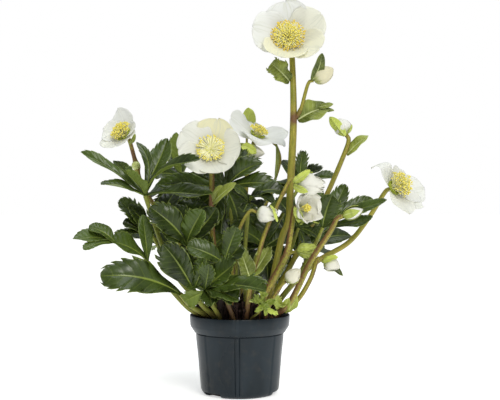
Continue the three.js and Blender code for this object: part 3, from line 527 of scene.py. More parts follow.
trees = {"stalk": stalkTree(), "stamens": stamenTree(), "horns": hornTree(), "crumbs": crumbTree()}
print("geometry trees made:", len(trees))


stalkValues = {
    "crownTop": 74.3,  # the crown that all stalks stand on
    "soilLine": 92,  # a stalk is upright up to here
    "sides": 12,
    "ringSpacing": 2.5,
    "ribs": 5,
    "ribDepth": 0.1,
    "perStretch": 8,  # points of its line between two points of its path
}


def addStalk(bag, points, footRadius, tipRadius, slot, spots=(), tint=0.5, swell=(), redSide=None):
    # swell: [share of the way, extra radius, reach as a share]; spots: flushes as [point, reach, strength];
    # and the side that is reddened: the way that it looks, and how red it is; that red is partly the stalk's own
    # flush and partly painted shade
    v = stalkValues
    path = smoothPath(points, v["perStretch"])
    steps = np.linspace(0, 1, len(path))
    radii = footRadius + (tipRadius - footRadius) * steps
    for at, extra, reach in swell:
        radii += extra * np.exp(-(((steps - at) / reach) ** 2))
    curve = bpy.data.curves.new("path", "CURVE")
    curve.dimensions = "3D"
    spline = curve.splines.new("POLY")
    spline.points.add(len(path) - 1)
    spline.points.foreach_set("co", np.column_stack([path * mm, np.ones(len(path))]).ravel())
    spline.points.foreach_set("radius", radii * mm)
    mesh = runTree(trees["stalk"], curve, {
        "Sides": v["sides"], "Ring spacing": v["ringSpacing"] * mm, "Ribs": v["ribs"],
        "Rib depth": v["ribDepth"] * mm, "Material": materials["stem"]})
    skin, faces = meshArrays(mesh)
    uvs = [readColumn(mesh.attributes[key].data, "value", len(skin)) for key in ("around", "along")]
    flush = np.zeros(len(skin))
    for point, reach, strength in spots:
        away = np.linalg.norm(skin - np.asarray(point, float), axis=1)
        flush = np.maximum(flush, strength * np.exp(-((away / reach) ** 2)))
    # one side is reddened by the way its surface faces: partly the stalk's own flush, partly painted shade
    if redSide:
        facing = readColumn(mesh.vertices, "normal", len(skin), 3) @ unit(redSide[:3])
        flush = np.maximum(flush, redSide[3] * np.clip(facing * 1.3 - 0.1, 0, 1))
    bag.add(skin, faces, np.column_stack(uvs), slot, tint=tint, flush=flush)
    bpy.data.meshes.remove(mesh)
    bpy.data.curves.remove(curve)


def stalkPath(foot, points):
    return [[*foot, stalkValues["crownTop"]], [*foot, stalkValues["soilLine"]], *points]


sheathValues = {"count": 2, "base": 89, "height": (17, 32), "width": (9, 14), "lean": 3, "clear": 0.6}


def addSheaths(bag, foot, radius, seed, slot):
    # withered scales of the bud that the stalk grew from, near black: partly their own dead brown, partly painted
    # shade filling the gaps between stalk feet
    v = sheathValues
    rng = random.Random(seed + 400)
    for k in range(v["count"]):
        turn = rng.uniform(0, 2 * math.pi)
        away = np.array([math.cos(turn), math.sin(turn), 0])
        base = np.array([*foot, v["base"]]) + away * (radius + v["clear"])
        tip = base + away * v["lean"] + np.array([0, 0, rng.uniform(*v["height"])])
        addBlade(bag, base, tip, away, rng.uniform(*v["width"]), bow=-0.04, fold=-0.6, teeth=0.3,
                 seed=seed * 9 + k, slot=slot, wave=0.08,
                 outline=partial(leafOutline, foot=0.4, power=0.6, blunt=0.5))


bladeValues = {
    "teeth": 8,  # along one margin, of which those nearest the foot don't show; half as many on a short blade
    "shortBlade": 30,
    "stations": (0, 0.4, 0.74, 0.93),  # rows of one tooth: from its notch out to its point
    "out": (-1, -0.3, 0.5, 1),  # how far the margin is out at each of those rows
    "hook": (0, 0, 0.05, 0.3),  # how far it leans forward there
    "puffs": (0.3, 1.0, 0.35, -0.9),  # how far the skin is puffed up there
    "columns": (0, 0.08, 0.24, 0.45, 0.66, 0.84, 1),  # from the midrib to the margin
    "thickness": 0.8,
    "marginThickness": 0.35,
    "ribWidth": 0.08,  # as a share of the half width
    "keel": 0.7,  # how far the midrib stands out below
    "groove": 0.4,  # how far it is sunk above
    "puff": 0.16,  # of the skin between two side veins
    "slant": 0.17,  # how far side veins run forward, as a share of the length
    "toothDepth": 0.15,  # as a share of the half width
    "toothStart": 0.4,
    "toothGrowth": 0.15,
    "bend": 0.05,  # sideways, as a share of the length, at most
    "twist": 12,  # degrees, at most
    "curlPeak": 6.75,  # makes the curl's s * s * (1 - s) reach 1
}


def leafOutline(s, foot=0.12, power=1.32, blunt=0.66):
    # half width along a leaflet as a share of its widest: a wedge foot, widest past the middle, a pointed end
    peak = power / (power + blunt)
    top = peak ** power * (1 - peak) ** blunt
    body = np.clip(s, 0, 1) ** power * np.clip(1 - s, 0, 1) ** blunt / top
    return body + foot * np.clip(1 - s, 0, 1) ** 4


def bractOutline(s, blunt=0.75):
    return leafOutline(s, foot=0.3, power=0.8, blunt=blunt)


def bladeFrame(base, tip, facing, roll):
    ahead = np.asarray(tip, float) - np.asarray(base, float)
    length = np.linalg.norm(ahead)
    ahead = ahead / length
    level = np.asarray(facing, float)
    level = unit(level - ahead * np.dot(level, ahead))
    turn = math.radians(roll)
    normal = level * math.cos(turn) + np.cross(ahead, level) * math.sin(turn)
    return length, ahead, normal, np.cross(ahead, normal)


def addBlade(bag, base, tip, facing, width, bow=0.1, roll=0.0, fold=0.18, teeth=1.0, seed=0, slot=0,
             wave=0.07, bend=None, twist=None, tint=None, outline=leafOutline, curl=0.0):
    v = bladeValues
    rng = random.Random(seed)
    length, ahead, normal, side = bladeFrame(base, tip, facing, roll)
    bend = rng.uniform(-v["bend"], v["bend"]) if bend is None else bend
    twist = rng.uniform(-v["twist"], v["twist"]) if twist is None else twist
    tint = rng.uniform(0, 1) if tint is None else tint
    count = v["teeth"] if length > v["shortBlade"] else v["teeth"] // 2
    step = len(v["stations"])

    def perRow(key):
        # a value of each of a tooth's rows, for all its teeth
        return np.tile(np.array(v[key]), count)[:, None]

    # t runs across from margin to margin, a from the midrib out, u and s along
    half = np.array([-c for c in v["columns"][:0:-1]] + list(v["columns"]))
    u = np.array([(k + f) / count for k in range(count) for f in v["stations"]])[:, None]
    t = np.broadcast_to(half, (count * step, len(half)))
    a = np.abs(t)
    hook = np.tile(np.array(v["hook"]) / count, count)[:, None] * a ** 4 * min(1, teeth)
    s = np.clip(u + v["slant"] * 4 * u * (1 - u) * a + hook, 0, 0.995)
    grown = np.clip((u - v["toothStart"]) / v["toothGrowth"], 0, 1)
    uneven = np.array([[rng.uniform(0.05, 1.6)] * step for _ in range(count)]).reshape(-1, 1)
    depth = teeth * v["toothDepth"] * grown * uneven
    margin = 1 + depth * perRow("out") * a ** 5
    lean = 1 + 0.1 * np.sign(t) * rng.uniform(-1, 1)
    w = outline(s) * width / 2 * margin * lean
    phase, waves = rng.uniform(0, 6.28), rng.uniform(1.2, 2.2)
    ripple = wave * width * np.sin(2 * math.pi * waves * s + phase + 0.9 * np.sign(t)) * a ** 2.2
    turn = np.radians(twist) * (s - 0.3)
    # the two halves rise from the midrib as a valley, steep at first
    angle = math.atan(fold) * (1.15 - 0.3 * a)
    x = t * w * np.cos(angle)
    y = a * w * np.sin(angle) + ripple * np.clip(s * 3, 0, 1)
    x, y = x * np.cos(turn) - y * np.sin(turn), x * np.sin(turn) + y * np.cos(turn)
    arch = 4 * bow * s * (1 - s) - curl * v["curlPeak"] * s * s * (1 - s)
    slope = 4 * bow * (1 - 2 * s) - curl * v["curlPeak"] * (2 * s - 3 * s * s)
    up = normal - ahead * slope[..., None]
    up = up / np.linalg.norm(up, axis=-1, keepdims=True)
    # round the end the teeth stand forward
    forward = np.clip((u - 0.6) * 4, 0, 1) * np.clip((1 - u) * 9, 0, 1)
    reach = s + depth * perRow("out") * a ** 5 * forward * width / 2 / length
    middle = (np.asarray(base, float) + ahead * (length * reach)[..., None] + normal * (length * arch)[..., None]
              + side * (4 * bend * length * s * (1 - s))[..., None])
    sheet = middle + side * x[..., None] + up * y[..., None]
    taper = np.clip((1 - s) * 8, 0.25, 1) * min(1, width / 15)
    puffed = perRow("puffs") * v["puff"] * np.clip(a * 4, 0, 1) * (1 - a ** 3) * taper
    thick = (v["thickness"] * (1 - a ** 2) + v["marginThickness"] * a ** 2) * taper
    rib = np.exp(-((t / v["ribWidth"]) ** 2)) * taper
    upper = sheet + up * (thick / 2 + puffed - v["groove"] * rib)[..., None]
    lower = sheet - up * (thick / 2 - puffed + v["keel"] * rib)[..., None]
    points, faces = closedSheet(upper, lower, np.asarray(tip, float))
    across, counted = np.broadcast_to(0.5 + half / 2, t.shape), np.broadcast_to(u * count - 0.42, t.shape)
    uvs = np.column_stack([across.ravel(), counted.ravel()])
    bag.add(points, faces, np.concatenate([uvs, uvs, [[0.5, count]]]), slot, tint=tint,
            upper=np.concatenate([np.ones(t.size), np.zeros(t.size), [1.0]]),
            along=np.concatenate([s.ravel(), s.ravel(), [1.0]]))


# Each leaf: the foot of its stalk on the crown, the points that the stalk passes, its hub, the way its upper
# side looks, and its leaflets as (tip x, y, z, width, bow), and for some a roll in degrees and a bend aside.
leafPlaces = {
    "leaf_left_high": {
        "foot": (-33, -8), "via": [(-71, -16, 136), (-90, -22, 174)], "hub": (-111, -26, 236),
        "facing": (-0.1, -0.5, 0.85), "radius": 2.9,
        "leaflets": [
            (-31, -42, 238, 23, 0.05), (-45, -64, 278, 20, 0.2), (-87, 0, 305, 28, 0.08),
            (-124, 2, 301, 10, 0.14, 0, 0.14), (-130, -56, 265, 24, 0.1), (-186, -30, 287, 15, 0.05),
            (-159, -54, 250, 19, 0.05), (-153, 12, 279, 14, 0.06),
        ],
        "teeth": 0.5,
    },
    "leaf_left_middle": {
        "foot": (-42, -14), "via": [(-61, -26, 105), (-89, -38, 138)], "hub": (-106, -44, 159),
        "facing": (0.1, -0.55, 0.83),
        "leaflets": [
            (-150, -60, 185, 27, 0.1), (-112, -46, 214, 15, 0.06),
        ],
        "tint": 1.0, "teeth": 0.5, "fold": 0.35, "radius": 3.1,
        "lobes": {
            "hub": (-141, -58, 182),
            "leaflets": [(-188, -72, 187, 19, 0.12), (-172, -58, 200, 19, 0.12), (-175, -80, 176, 13, 0.1)],
        },
    },
    "leaf_left_low": {
        "foot": (-36, -24), "via": [(-56, -40, 108)], "hub": (-68, -50, 123),
        "facing": (-0.2, -0.88, 0.42),
        "leaflets": [(-155, -84, 146, 35, 0.12)],
        "fold": 0.22, "teeth": 2.8, "tint": 0.45, "blunt": 0.6, "wave": 0.12, "radius": 3.2,
    },
    "leaf_front_left": {
        "foot": (-28, -30), "via": [(-43, -42, 109)], "hub": (-52, -58, 128),
        "facing": (-0.3, -0.9, 0.3), "radius": 3.1,
        "leaflets": [
            (-86, -74, 181, 34, 0.08), (-40, -80, 167, 18, 0.05), (-69, -58, 178, 22, 0.05),
        ],
    },
    "leaf_front_low": {
        "foot": (-22, -38), "via": [(-31, -56, 111)], "hub": (-38, -68, 128),
        "facing": (0, -0.7, 0.7),
        "leaflets": [
            (-3, -86, 163, 28, 0.1), (30, -98, 131, 29, 0.12), (0, -103, 121, 28, 0.14),
            (-34, -92, 160, 18, 0.08), (-61, -84, 118, 17, 0.12, 150), (-30, -101, 114, 22, 0.12),
            (-58, -54, 138, 18, 0.08), (-8, -99, 116, 22, 0.14),
        ],
        "wave": 0.12, "teeth": 1.4, "tint": 0.6,
    },
    "leaf_centre_low": {
        "foot": (-7, -41), "via": [(-18, -52, 128)], "hub": (-17, -60, 159),
        "facing": (0, -0.8, 0.6), "red": 1.2,
        "leaflets": [
            (-59, -68, 179, 24, 0.12), (-3, -66, 200, 19, 0.05), (3, -58, 180, 20, 0.08),
        ],
    },
    "leaf_centre": {
        "foot": (-18, -20), "via": [(-46, -32, 132)], "hub": (-61, -40, 178),
        "facing": (-0.1, -0.8, 0.6),
        "leaflets": [
            (-103, -50, 223, 32, 0.12), (-42, -54, 220, 26, 0.1), (-27, -36, 222, 26, 0.08),
            (-89, -58, 194, 16, 0.08), (-75, -26, 226, 28, 0.08),
        ],
    },
    "leaf_middle_low": {
        "foot": (-26, -4), "via": [(-39, -12, 122)], "hub": (-43, -16, 158),
        "facing": (0, -0.75, 0.66),
        "leaflets": [
            (-81, -8, 164, 24, 0.08), (-64, -10, 188, 24, 0.08), (-35, -21, 189, 24, 0.08),
            (-11, -31, 170, 24, 0.08), (-67, 4, 139, 22, 0.1), (-20, -39, 133, 24, 0.1),
            (-54, 51, 205, 24, 0.12, 5), (-17, 12, 188, 24, 0.08),
        ],
    },
    "leaf_middle": {
        "foot": (9, 5), "via": [(19, 9, 134)], "hub": (29, 14, 173),
        "facing": (0, -0.75, 0.66),
        "leaflets": [
            (0, 8, 188, 26, 0.08), (12, 18, 212, 26, 0.08), (39, 22, 216, 26, 0.08), (64, 24, 192, 26, 0.08),
            (62, 26, 157, 24, 0.08), (7, 4, 149, 24, 0.1), (-11, -2, 200, 26, 0.19, -1),
            (-21, 51, 157, 25, 0.16), (35, 37, 126, 26, 0.14, -3), (59, 59, 130, 26, 0.12, -1),
        ],
    },
    "leaf_centre_right": {
        "foot": (8, -14), "via": [(6, -20, 160)], "hub": (11, -28, 229),
        "facing": (0.1, -0.6, 0.8),
        "leaflets": [
            (52, -34, 240, 22, 0.24), (39, -50, 228, 15, 0.26), (4, -56, 218, 13, 0), (-6, -40, 247, 14, 0.1),
            (26, -18, 214, 20, 0.1),
        ],
    },
    "leaf_right": {
        "foot": (36, -4), "via": [(70, -4, 141), (89, -5, 176)], "hub": (99, -7, 198),
        "facing": (0.1, -0.75, 0.65),
        "leaflets": [
            (128, 10, 250, 19, 0.05), (109, -24, 237, 26, 0.08), (161, 4, 231, 19, 0.12),
            (172, -34, 231, 13, 0.05), (157, -24, 211, 15, 0.06),
        ],
        "tint": 0.75,
    },
    "leaf_right_low": {
        "foot": (17, 3), "via": [(53, 8, 152)], "hub": (71, 10, 197),
        "facing": (0.2, -0.7, 0.65),
        "leaflets": [
            (103, 24, 180, 22, 0.1), (96, 18, 216, 22, 0.08), (98, 30, 243, 24, 0.08),
            (48, 41, 232, 24, 0.13, -7), (79, 39, 154, 24, 0.14, 6),
        ],
    },
    "leaf_right_high": {
        "foot": (12, 14), "via": [(29, 26, 170)], "hub": (74, 46, 248),
        "facing": (0.1, -0.5, 0.85),
        "leaflets": [
            (79, 62, 293, 14, 0.05), (103, 40, 271, 18, 0.12), (117, 36, 259, 20, 0.1), (54, 66, 282, 20, 0.1),
            (103, 60, 231, 20, 0.1), (27, 84, 238, 24, 0.11, 3), (45, 87, 203, 24, 0.2, -1),
            (34, 89, 223, 24, 0.2, 4),
        ],
    },
    "leaf_back_centre": {
        "foot": (-5, 4), "via": [(-5, 4, 171)], "hub": (-17, 6, 245),
        "facing": (0, -0.8, 0.6),
        "leaflets": [
            (27, -6, 276, 24, 0.14), (44, -12, 249, 22, 0.16), (5, 26, 295, 24, 0.06),
            (-41, 18, 270, 22, 0.06), (-99, -2, 250, 24, 0.08), (-63, 30, 280, 22, 0.08),
            (-43, 6, 200, 28, 0.1), (0, 14, 199, 28, 0.1), (-64, 28, 249, 26, 0.1, 6),
            (-50, 14, 223, 26, 0.06, 4), (-24, 56, 183, 26, 0.11, -4), (20, 41, 212, 26, 0.06, 1),
        ],
    },
    "leaf_left_back": {
        "foot": (-38, 6), "via": [(-82, 8, 146)], "hub": (-106, 8, 189),
        "facing": (-0.1, -0.65, 0.75),
        "leaflets": [
            (-145, 6, 232, 23, 0.08), (-132, -10, 225, 18, 0.06), (-140, -2, 205, 22, 0.08),
            (-149, -14, 189, 14, 0.1), (-76, 20, 229, 28, 0.08), (-38, -4, 224, 32, 0.1),
            (-76, 24, 246, 24, 0.11, -1), (-64, 4, 206, 24, 0.15, -2),
        ],
    },
    "leaf_back_high": {
        "foot": (-16, 22), "via": [(-55, 52, 181)], "hub": (-74, 72, 259),
        "facing": (-0.2, 0, 0.98),
        "leaflets": [
            (-81, 66, 317, 17, 0.06), (-104, 86, 295, 20, 0.1), (-119, 108, 268, 22, 0.1),
            (-52, 94, 296, 22, 0.1), (-24, 82, 269, 24, 0.1), (-54, 128, 250, 24, 0.1),
            (-113, 39, 232, 28, 0.1, -3), (-95, 41, 218, 28, 0.11, -2), (-56, 38, 206, 28, 0.06, 1),
            (-38, 20, 226, 28, 0.13, 5), (-112, 44, 262, 19, 0.1, -60),
        ],
    },
    "leaf_back_left": {
        "foot": (-30, 26), "via": [(-48, 42, 122)], "hub": (-76, 70, 164),
        "facing": (-0.15, -0.65, 0.74),
        "leaflets": [
            (-73, 113, 216, 28, 0.2, 1), (-44, 116, 209, 28, 0.08, 5), (-94, 118, 214, 28, 0.18, -5),
            (-35, 117, 171, 28, 0.15, -2), (-59, 120, 121, 27, 0.15, 2), (-145, 110, 196, 28, 0.13, 1),
            (-111, 146, 168, 28, 0.16, -1), (-54, 150, 182, 28, 0.14, -1),
        ],
    },
    "leaf_back": {
        "foot": (-6, 40), "via": [(-9, 66, 128)], "hub": (-4, 94, 158),
        "facing": (0, -0.72, 0.69),
        "leaflets": [
            (-23, 135, 220, 30, 0.04, -2), (10, 124, 233, 30, 0.18, -2), (33, 131, 219, 30, 0.04),
            (66, 138, 194, 29, 0.2, 1), (-45, 138, 197, 30, 0.07, -2), (-31, 162, 183, 26, 0.15, -6),
            (37, 170, 170, 26, 0.1, 6), (-29, 70, 113, 26, 0.06, 1), (25, 68, 112, 26, 0.11, -3),
            (-2, 64, 108, 28, 0.06),
        ],
    },
    "leaf_back_right": {
        "foot": (22, 36), "via": [(42, 58, 120)], "hub": (74, 80, 161),
        "facing": (0.15, -0.65, 0.74),
        "leaflets": [
            (48, 119, 204, 28, 0.13, -2), (61, 109, 224, 28, 0.17, -1), (93, 112, 233, 28, 0.13, 5),
            (111, 110, 205, 28, 0.13, 2), (40, 119, 150, 28, 0.04, 3), (145, 114, 184, 28, 0.11, -1),
            (113, 148, 166, 28, 0.08, 2), (59, 158, 179, 27, 0.14),
        ],
    },
    "young_leaf": {
        "foot": (13, -43), "via": [(22, -54, 102)], "hub": (27, -63, 111),
        "facing": (0, -0.85, 0.5), "radius": 1.4,
        "teeth": 2.8, "wave": 0.2, "grow": 1.0, "fold": 0.6,
        "leaflets": [
            (11, -68, 116, 7, 0.1, 40), (17, -76, 125, 8, 0.25, -30), (24, -70, 132, 7, 0.1, 30),
            (33, -72, 126, 7, 0.3, -40), (41, -74, 119, 8, 0.15, 35), (48, -70, 110, 7, 0.3, -30),
            (35, -82, 111, 7, 0.35, 40), (17, -81, 106, 7, 0.3, -40), (26, -83, 117, 7, 0.3, 25),
            (44, -68, 102, 7, 0.25, 40), (29, -80, 101, 7, 0.3, -35),
        ],
    },
}


def pieceName(node):
    first, *rest = node.split("_")
    return first + "".join(word.capitalize() for word in rest)


def settle(piece, node):
    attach(piece, "root")
    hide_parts(node)


def makeLeaf(node, place, seed):
    bag = Bag()
    radius = place.get("radius", 2.5)
    path = stalkPath(place["foot"], [*place["via"], place["hub"]])
    addStalk(bag, path, radius + 0.5, radius - 0.4, 1, spots=[(path[1], 26, place.get("red", 0.55))], tint=0.45)
    young = node == "young_leaf"
    if not young:
        addSheaths(bag, place["foot"], radius, seed, 2)
    rng = random.Random(seed * 5)
    for group in (place, place.get("lobes", {})):
        for k, (x, y, z, width, bow, *turned) in enumerate(group.get("leaflets", [])):
            fold = place.get("fold", rng.uniform(0.15, 0.75))
            addBlade(bag, group["hub"], (x, y, z), place["facing"], width * place.get("grow", 1.18), bow,
                     turned[0] if turned else 0, fold, teeth=place.get("teeth", 1.0), seed=seed * 31 + k,
                     wave=place.get("wave", 0.075), bend=turned[1] if len(turned) > 1 else None,
                     curl=rng.uniform(-0.02, 0.09), tint=place.get("tint"),
                     outline=partial(leafOutline, blunt=place.get("blunt", 0.66)))
    piece = bag.build(pieceName(node), ["paleLeaf" if young else "leaf", "leafStalk", "sheath"])
    settle(piece, node)


for seed, (node, place) in enumerate(leafPlaces.items(), 1):
    makeLeaf(node, place, seed)
print("leaves grown:", len(leafPlaces))


# Each flower: where its base is, the way it looks, its sepals as (angle clockwise from the top, length, width,
# layer, cup, curl back, point, cream tint, and for some a turn about their length), and its stamens.
flowerPlaces = {
    "flower_top": {
        "at": (60, -3, 424), "facing": (-0.03, -0.93, 0.36),
        "sepals": [
            (-8, 44, 51, 0, 14, 0, 0.08, 0.0), (58, 44.5, 50, 1.6, 15, 0, 0, 0.3),
            (127, 44, 50, 0.8, 22, 0, 0.12, 0.5),
            (196, 41.5, 54, 2.2, 24, 0, 0.08, 0.65), (277, 45, 56, 1.4, 16, 0, 0, 0.05),
        ],
        "stamens": {
            "count": 320, "foot": 5, "reach": 20.5, "height": 15, "hollow": 0.25, "spread": 0.9, "thread": 0.5,
            "anther": 2.7, "cushion": 0.3, "ringTint": 0.9, "shift": (-2.5, -3),
        },
    },
    "flower_centre": {
        "at": (-34, -27, 288), "facing": (0.02, -0.91, 0.42),
        "sepals": [
            (12, 38, 44, 1.0, 10, 0, 0, 0.85), (84, 35, 46, 0.6, 11, 0, 0, 0.3),
            (158, 36, 48, 0, 12, 0, 0.08, 0.3),
            (232, 38.5, 47, 1.1, 12, 0, 0, 0.25), (302, 40, 48, 1.5, 10, 0, 0, 0.18),
        ],
        "stamens": {
            "count": 90, "foot": 3, "reach": 17, "height": 8, "hollow": 0.1, "spread": 0.22, "thread": 0.62,
            "anther": 2.6, "cushion": 0.3, "ringTint": 0.45, "styleLean": 0.55, "styleLength": 8.5,
        },
    },
    "flower_left": {
        "at": (-138, 8, 308), "facing": (-0.5, -0.62, 0.6),
        "sepals": [
            (-36, 42, 37, 0, 13, 0, 0.45, 0.05), (66, 21, 24, 1.6, 9, 0.1, 0, 0.05),
            (130, 27, 30, 0.8, 10, 0, 0, 0.15),
            (196, 30, 36, 2.0, 12, 0, 0, 0.15), (268, 27, 32, 1.2, 13, 0, 0.1, 0.05),
        ],
        "stamens": {
            "count": 170, "foot": 4, "reach": 13.5, "height": 15, "hollow": 0.4, "spread": 1.0, "thread": 0.45,
            "anther": 2.3, "cushion": 0.5,
        },
    },
    "flower_right": {
        "at": (182, 8, 244), "facing": (0.8, -0.4, 0.45),
        "sepals": [
            (-10, 45, 17, 0, 20, 0.35, 0.1, 0.05, -35), (52, 28, 32, 1.4, 16, 0, 0, 0.05),
            (104, 47, 42, 0.7, 25, 0, 0, 0.05),
            (146, 40, 34, 2.0, 18, 0, 0.1, 0.05, 12), (196, 42, 32, 1.2, 14, 0.06, 0.3, 0.1, 34),
        ],
        "stamens": {
            "count": 150, "foot": 4, "reach": 16, "height": 24, "hollow": 0.5, "spread": 0.9, "thread": 0.55,
            "anther": 2.8, "cushion": 0.5, "uneven": 0.7,
        },
    },
    "flower_back": {
        "at": (20, 45, 309), "facing": (0.38, -0.3, 0.87),
        "sepals": [
            (-48, 40, 36, 0, 12, 0, 0, 0, -34), (34, 31, 34, 0.8, 7, 0, 0, 0),
            (104, 43, 34, 1.6, 14, 0, 0.3, 0, 10),
            (164, 42, 26, 2.2, 12, 0.1, 0.4, 0, 14), (232, 29, 42, 1.4, 5, 0.15, 0, 0),
        ],
        "stamens": {
            "count": 100, "foot": 4, "reach": 12, "height": 13, "hollow": 0.35, "spread": 1.0, "thread": 0.4,
            "anther": 2.5, "cushion": 0.5,
        },
    },
}

sepalValues = {
    "rows": 26,
    "columns": 21,
    "thickness": 0.5,
    "lift": 0.35,  # mm off the flower's base
    "bowlPower": 1.6,
    "overlapTilt": 0.6,  # mm by which a sepal's one margin lies higher than its other
    "ruffle": 0.06,  # as a share of the width
    "scallops": ((0.03, 9), (0.018, 27)),  # waves of the margin: share of the width, and how many
    "dent": (0.04, 0.4, 0.2),  # a notch in the end: depth, how far aside at most, width
}


def flowerFrame(place):
    normal = unit(place["facing"])
    up = unit(np.array([0, 0, 1.0]) - normal * normal[2])
    return np.asarray(place["at"], float), normal, up, np.cross(up, normal)


def sheetGrid(v):
    # u along a sepal, in rows that are closer together at its ends, and t across it
    u = (0.5 - 0.5 * np.cos(math.pi * (np.arange(v["rows"]) + 0.5) / v["rows"]))[:, None]
    return u, np.broadcast_to(np.linspace(-1, 1, v["columns"]), (v["rows"], v["columns"]))


def addSheet(bag, outer, inner, u, t, slot, tint, outerIsUpper):
    points, faces = closedSheet(outer[:, ::-1], inner[:, ::-1])
    uv = np.column_stack([(0.5 + t[:, ::-1] / 2).ravel(), np.broadcast_to(u, t.shape).ravel()])
    uv = np.concatenate([uv, uv])
    upper = np.repeat([outerIsUpper, 1.0 - outerIsUpper], t.size)
    bag.add(points, faces, uv, slot, tint=tint, upper=upper, along=uv[:, 1])


def makeSepals(node, place, seed):
    v = sepalValues
    bag = Bag()
    at, normal, up, right = flowerFrame(place)
    u, t = sheetGrid(v)
    for k, (degrees, length, width, layer, cup, curl, point, tint, *turned) in enumerate(place["sepals"]):
        rng = random.Random(seed * 17 + k)
        angle = math.radians(degrees)
        out = up * math.cos(angle) + right * math.sin(angle)
        level = np.cross(out, normal)
        # widest past the middle, round at the end, narrow at the foot
        shape = np.sqrt(1 - np.abs(2 * u ** 1.25 - 1) ** 2.3) * (1 - point * u ** 2)
        (broad, few), (fine, many) = v["scallops"]
        x = t * width / 2 * shape * (1 + broad * np.sin(few * u + seed + k) + fine * np.sin(many * u + k))
        deep, aside, wide = v["dent"]
        dent = 1 - deep * np.exp(-((t - rng.uniform(-aside, aside)) / wide) ** 2) * u ** 8
        dent = dent + 0.01 * np.sin(11 * t + rng.uniform(0, 6)) * u ** 6
        r = length * u * dent
        # all sepals lie on one bowl, each in its own layer
        h = cup * (np.sqrt(r ** 2 + x ** 2) / length) ** v["bowlPower"]
        h = h + (layer + v["overlapTilt"] * t) * np.clip(u * 2.5, 0, 1)
        phase = rng.uniform(0, 6.28)
        h = h + v["ruffle"] * width * np.sin(6 * u + 2.5 * t + phase) * np.abs(t) ** 3 * u
        h = h + 0.012 * width * np.sin(6 * t + phase) * u ** 4
        back = curl * length * np.clip(u - 0.5, 0, 1) ** 2 * 4
        h, r = h - back * 1.8, r - back * 0.7
        # some sepals turn about their own length
        turn = (math.radians(turned[0] if turned else 0) * np.clip(u * 1.8, 0, 1))[..., None]
        side, raised = level * np.cos(turn) - normal * np.sin(turn), normal * np.cos(turn) + level * np.sin(turn)
        sheet = at + out * r[..., None] + side * x[..., None] + normal * h[..., None]
        thick = v["thickness"] * (1 - 0.6 * t ** 2) * np.clip((1 - u) * 6, 0.3, 1)
        upper, lower = (sheet + raised * (thick * half)[..., None] + normal * v["lift"] for half in (0.5, -0.5))
        addSheet(bag, upper, lower, u, t, 0, tint, 1.0)
    settle(bag.build(pieceName(node) + "Sepals", ["sepal"]), f"{node}_sepals")


heartValues = {
    "lift": 1.7,
    "antherShape": 0.8,  # its width as a share of its length
    "nectaries": 14,
    "nectaryRing": 1.6,  # mm outside the stamens' foot
    "nectaryLean": 0.9,
    "nectaryLength": 5.5,
    "nectaryFoot": 0.5,
    "nectaryMouth": 1.25,
    "nectarySink": -0.6,
    "carpels": 7,
    "carpelRing": 1.9,
    "carpelFoot": 1.5,
    "carpelTip": 0.35,
    "cushionHeight": 2.0,  # the green cushion that the stamens stand on
    "cushionRings": 5,
    "cushionSegments": 20,
}


def addFromTree(bag, tree, values, axes, at, slots, raised=0.0):
    # runs a tree on nothing and adds what it makes, turned to the axes; slots: a material's slot on the piece
    blank = bpy.data.meshes.new("blank")
    mesh = runTree(trees[tree], blank, values)
    points, faces = meshArrays(mesh)
    points = at + (points + np.array([0, 0, raised])) @ axes
    shares = np.zeros(len(points))
    if "share" in mesh.attributes:
        shares = readColumn(mesh.attributes["share"].data, "value", len(points))
    found = [mesh.materials[p.material_index] for p in mesh.polygons]
    for key, slot in slots.items():
        chosen = [face for face, material in zip(faces, found) if material == materials[key]]
        used = sorted({i for face in chosen for i in face})
        renumber = {old: new for new, old in enumerate(used)}
        bag.add(points[used], [[renumber[i] for i in face] for face in chosen], None, slot, tint=shares[used])
    bpy.data.meshes.remove(mesh)
    bpy.data.meshes.remove(blank)


def addStamens(bag, stamens, axes, at, seed, firstSlot):
    sizes = {"Foot radius": "foot", "Reach": "reach", "Height": "height", "Filament radius": "thread",
             "Anther length": "anther"}
    addFromTree(bag, "stamens", {
        **{label: stamens[key] * mm for label, key in sizes.items()},
        "Anther width": stamens["anther"] * heartValues["antherShape"] * mm,
        "Count": stamens["count"], "Hollow": stamens["hollow"], "Spread": stamens["spread"],
        "Uneven": stamens.get("uneven", 0.84), "Ring tint": stamens.get("ringTint", 0.6), "Seed": seed,
        "Filament": materials["filament"], "Anther": materials["anther"],
    }, axes, at, {"filament": firstSlot, "anther": firstSlot + 1})


def addCushion(bag, radius, height, axes, at, slot, tint=0.0):
    rings, segments = heartValues["cushionRings"], heartValues["cushionSegments"]
    points = [(0, 0, -0.6)]
    for k in range(rings):
        angle = k / rings * math.pi / 2
        for j in range(segments):
            turn = j / segments * 2 * math.pi
            r = radius * math.cos(angle)
            points.append((r * math.cos(turn), r * math.sin(turn), height * math.sin(angle)))
    top, last = len(points), len(points) - segments
    faces, skin = [], ringFaces(rings, segments, 1)
    for j in range(segments):
        n = (j + 1) % segments
        faces += [[0, 1 + n, 1 + j], *skin[j::segments], [last + j, last + n, top]]
    bag.add(at + np.array([*points, (0, 0, height)]) @ axes, faces, None, slot, tint=tint)


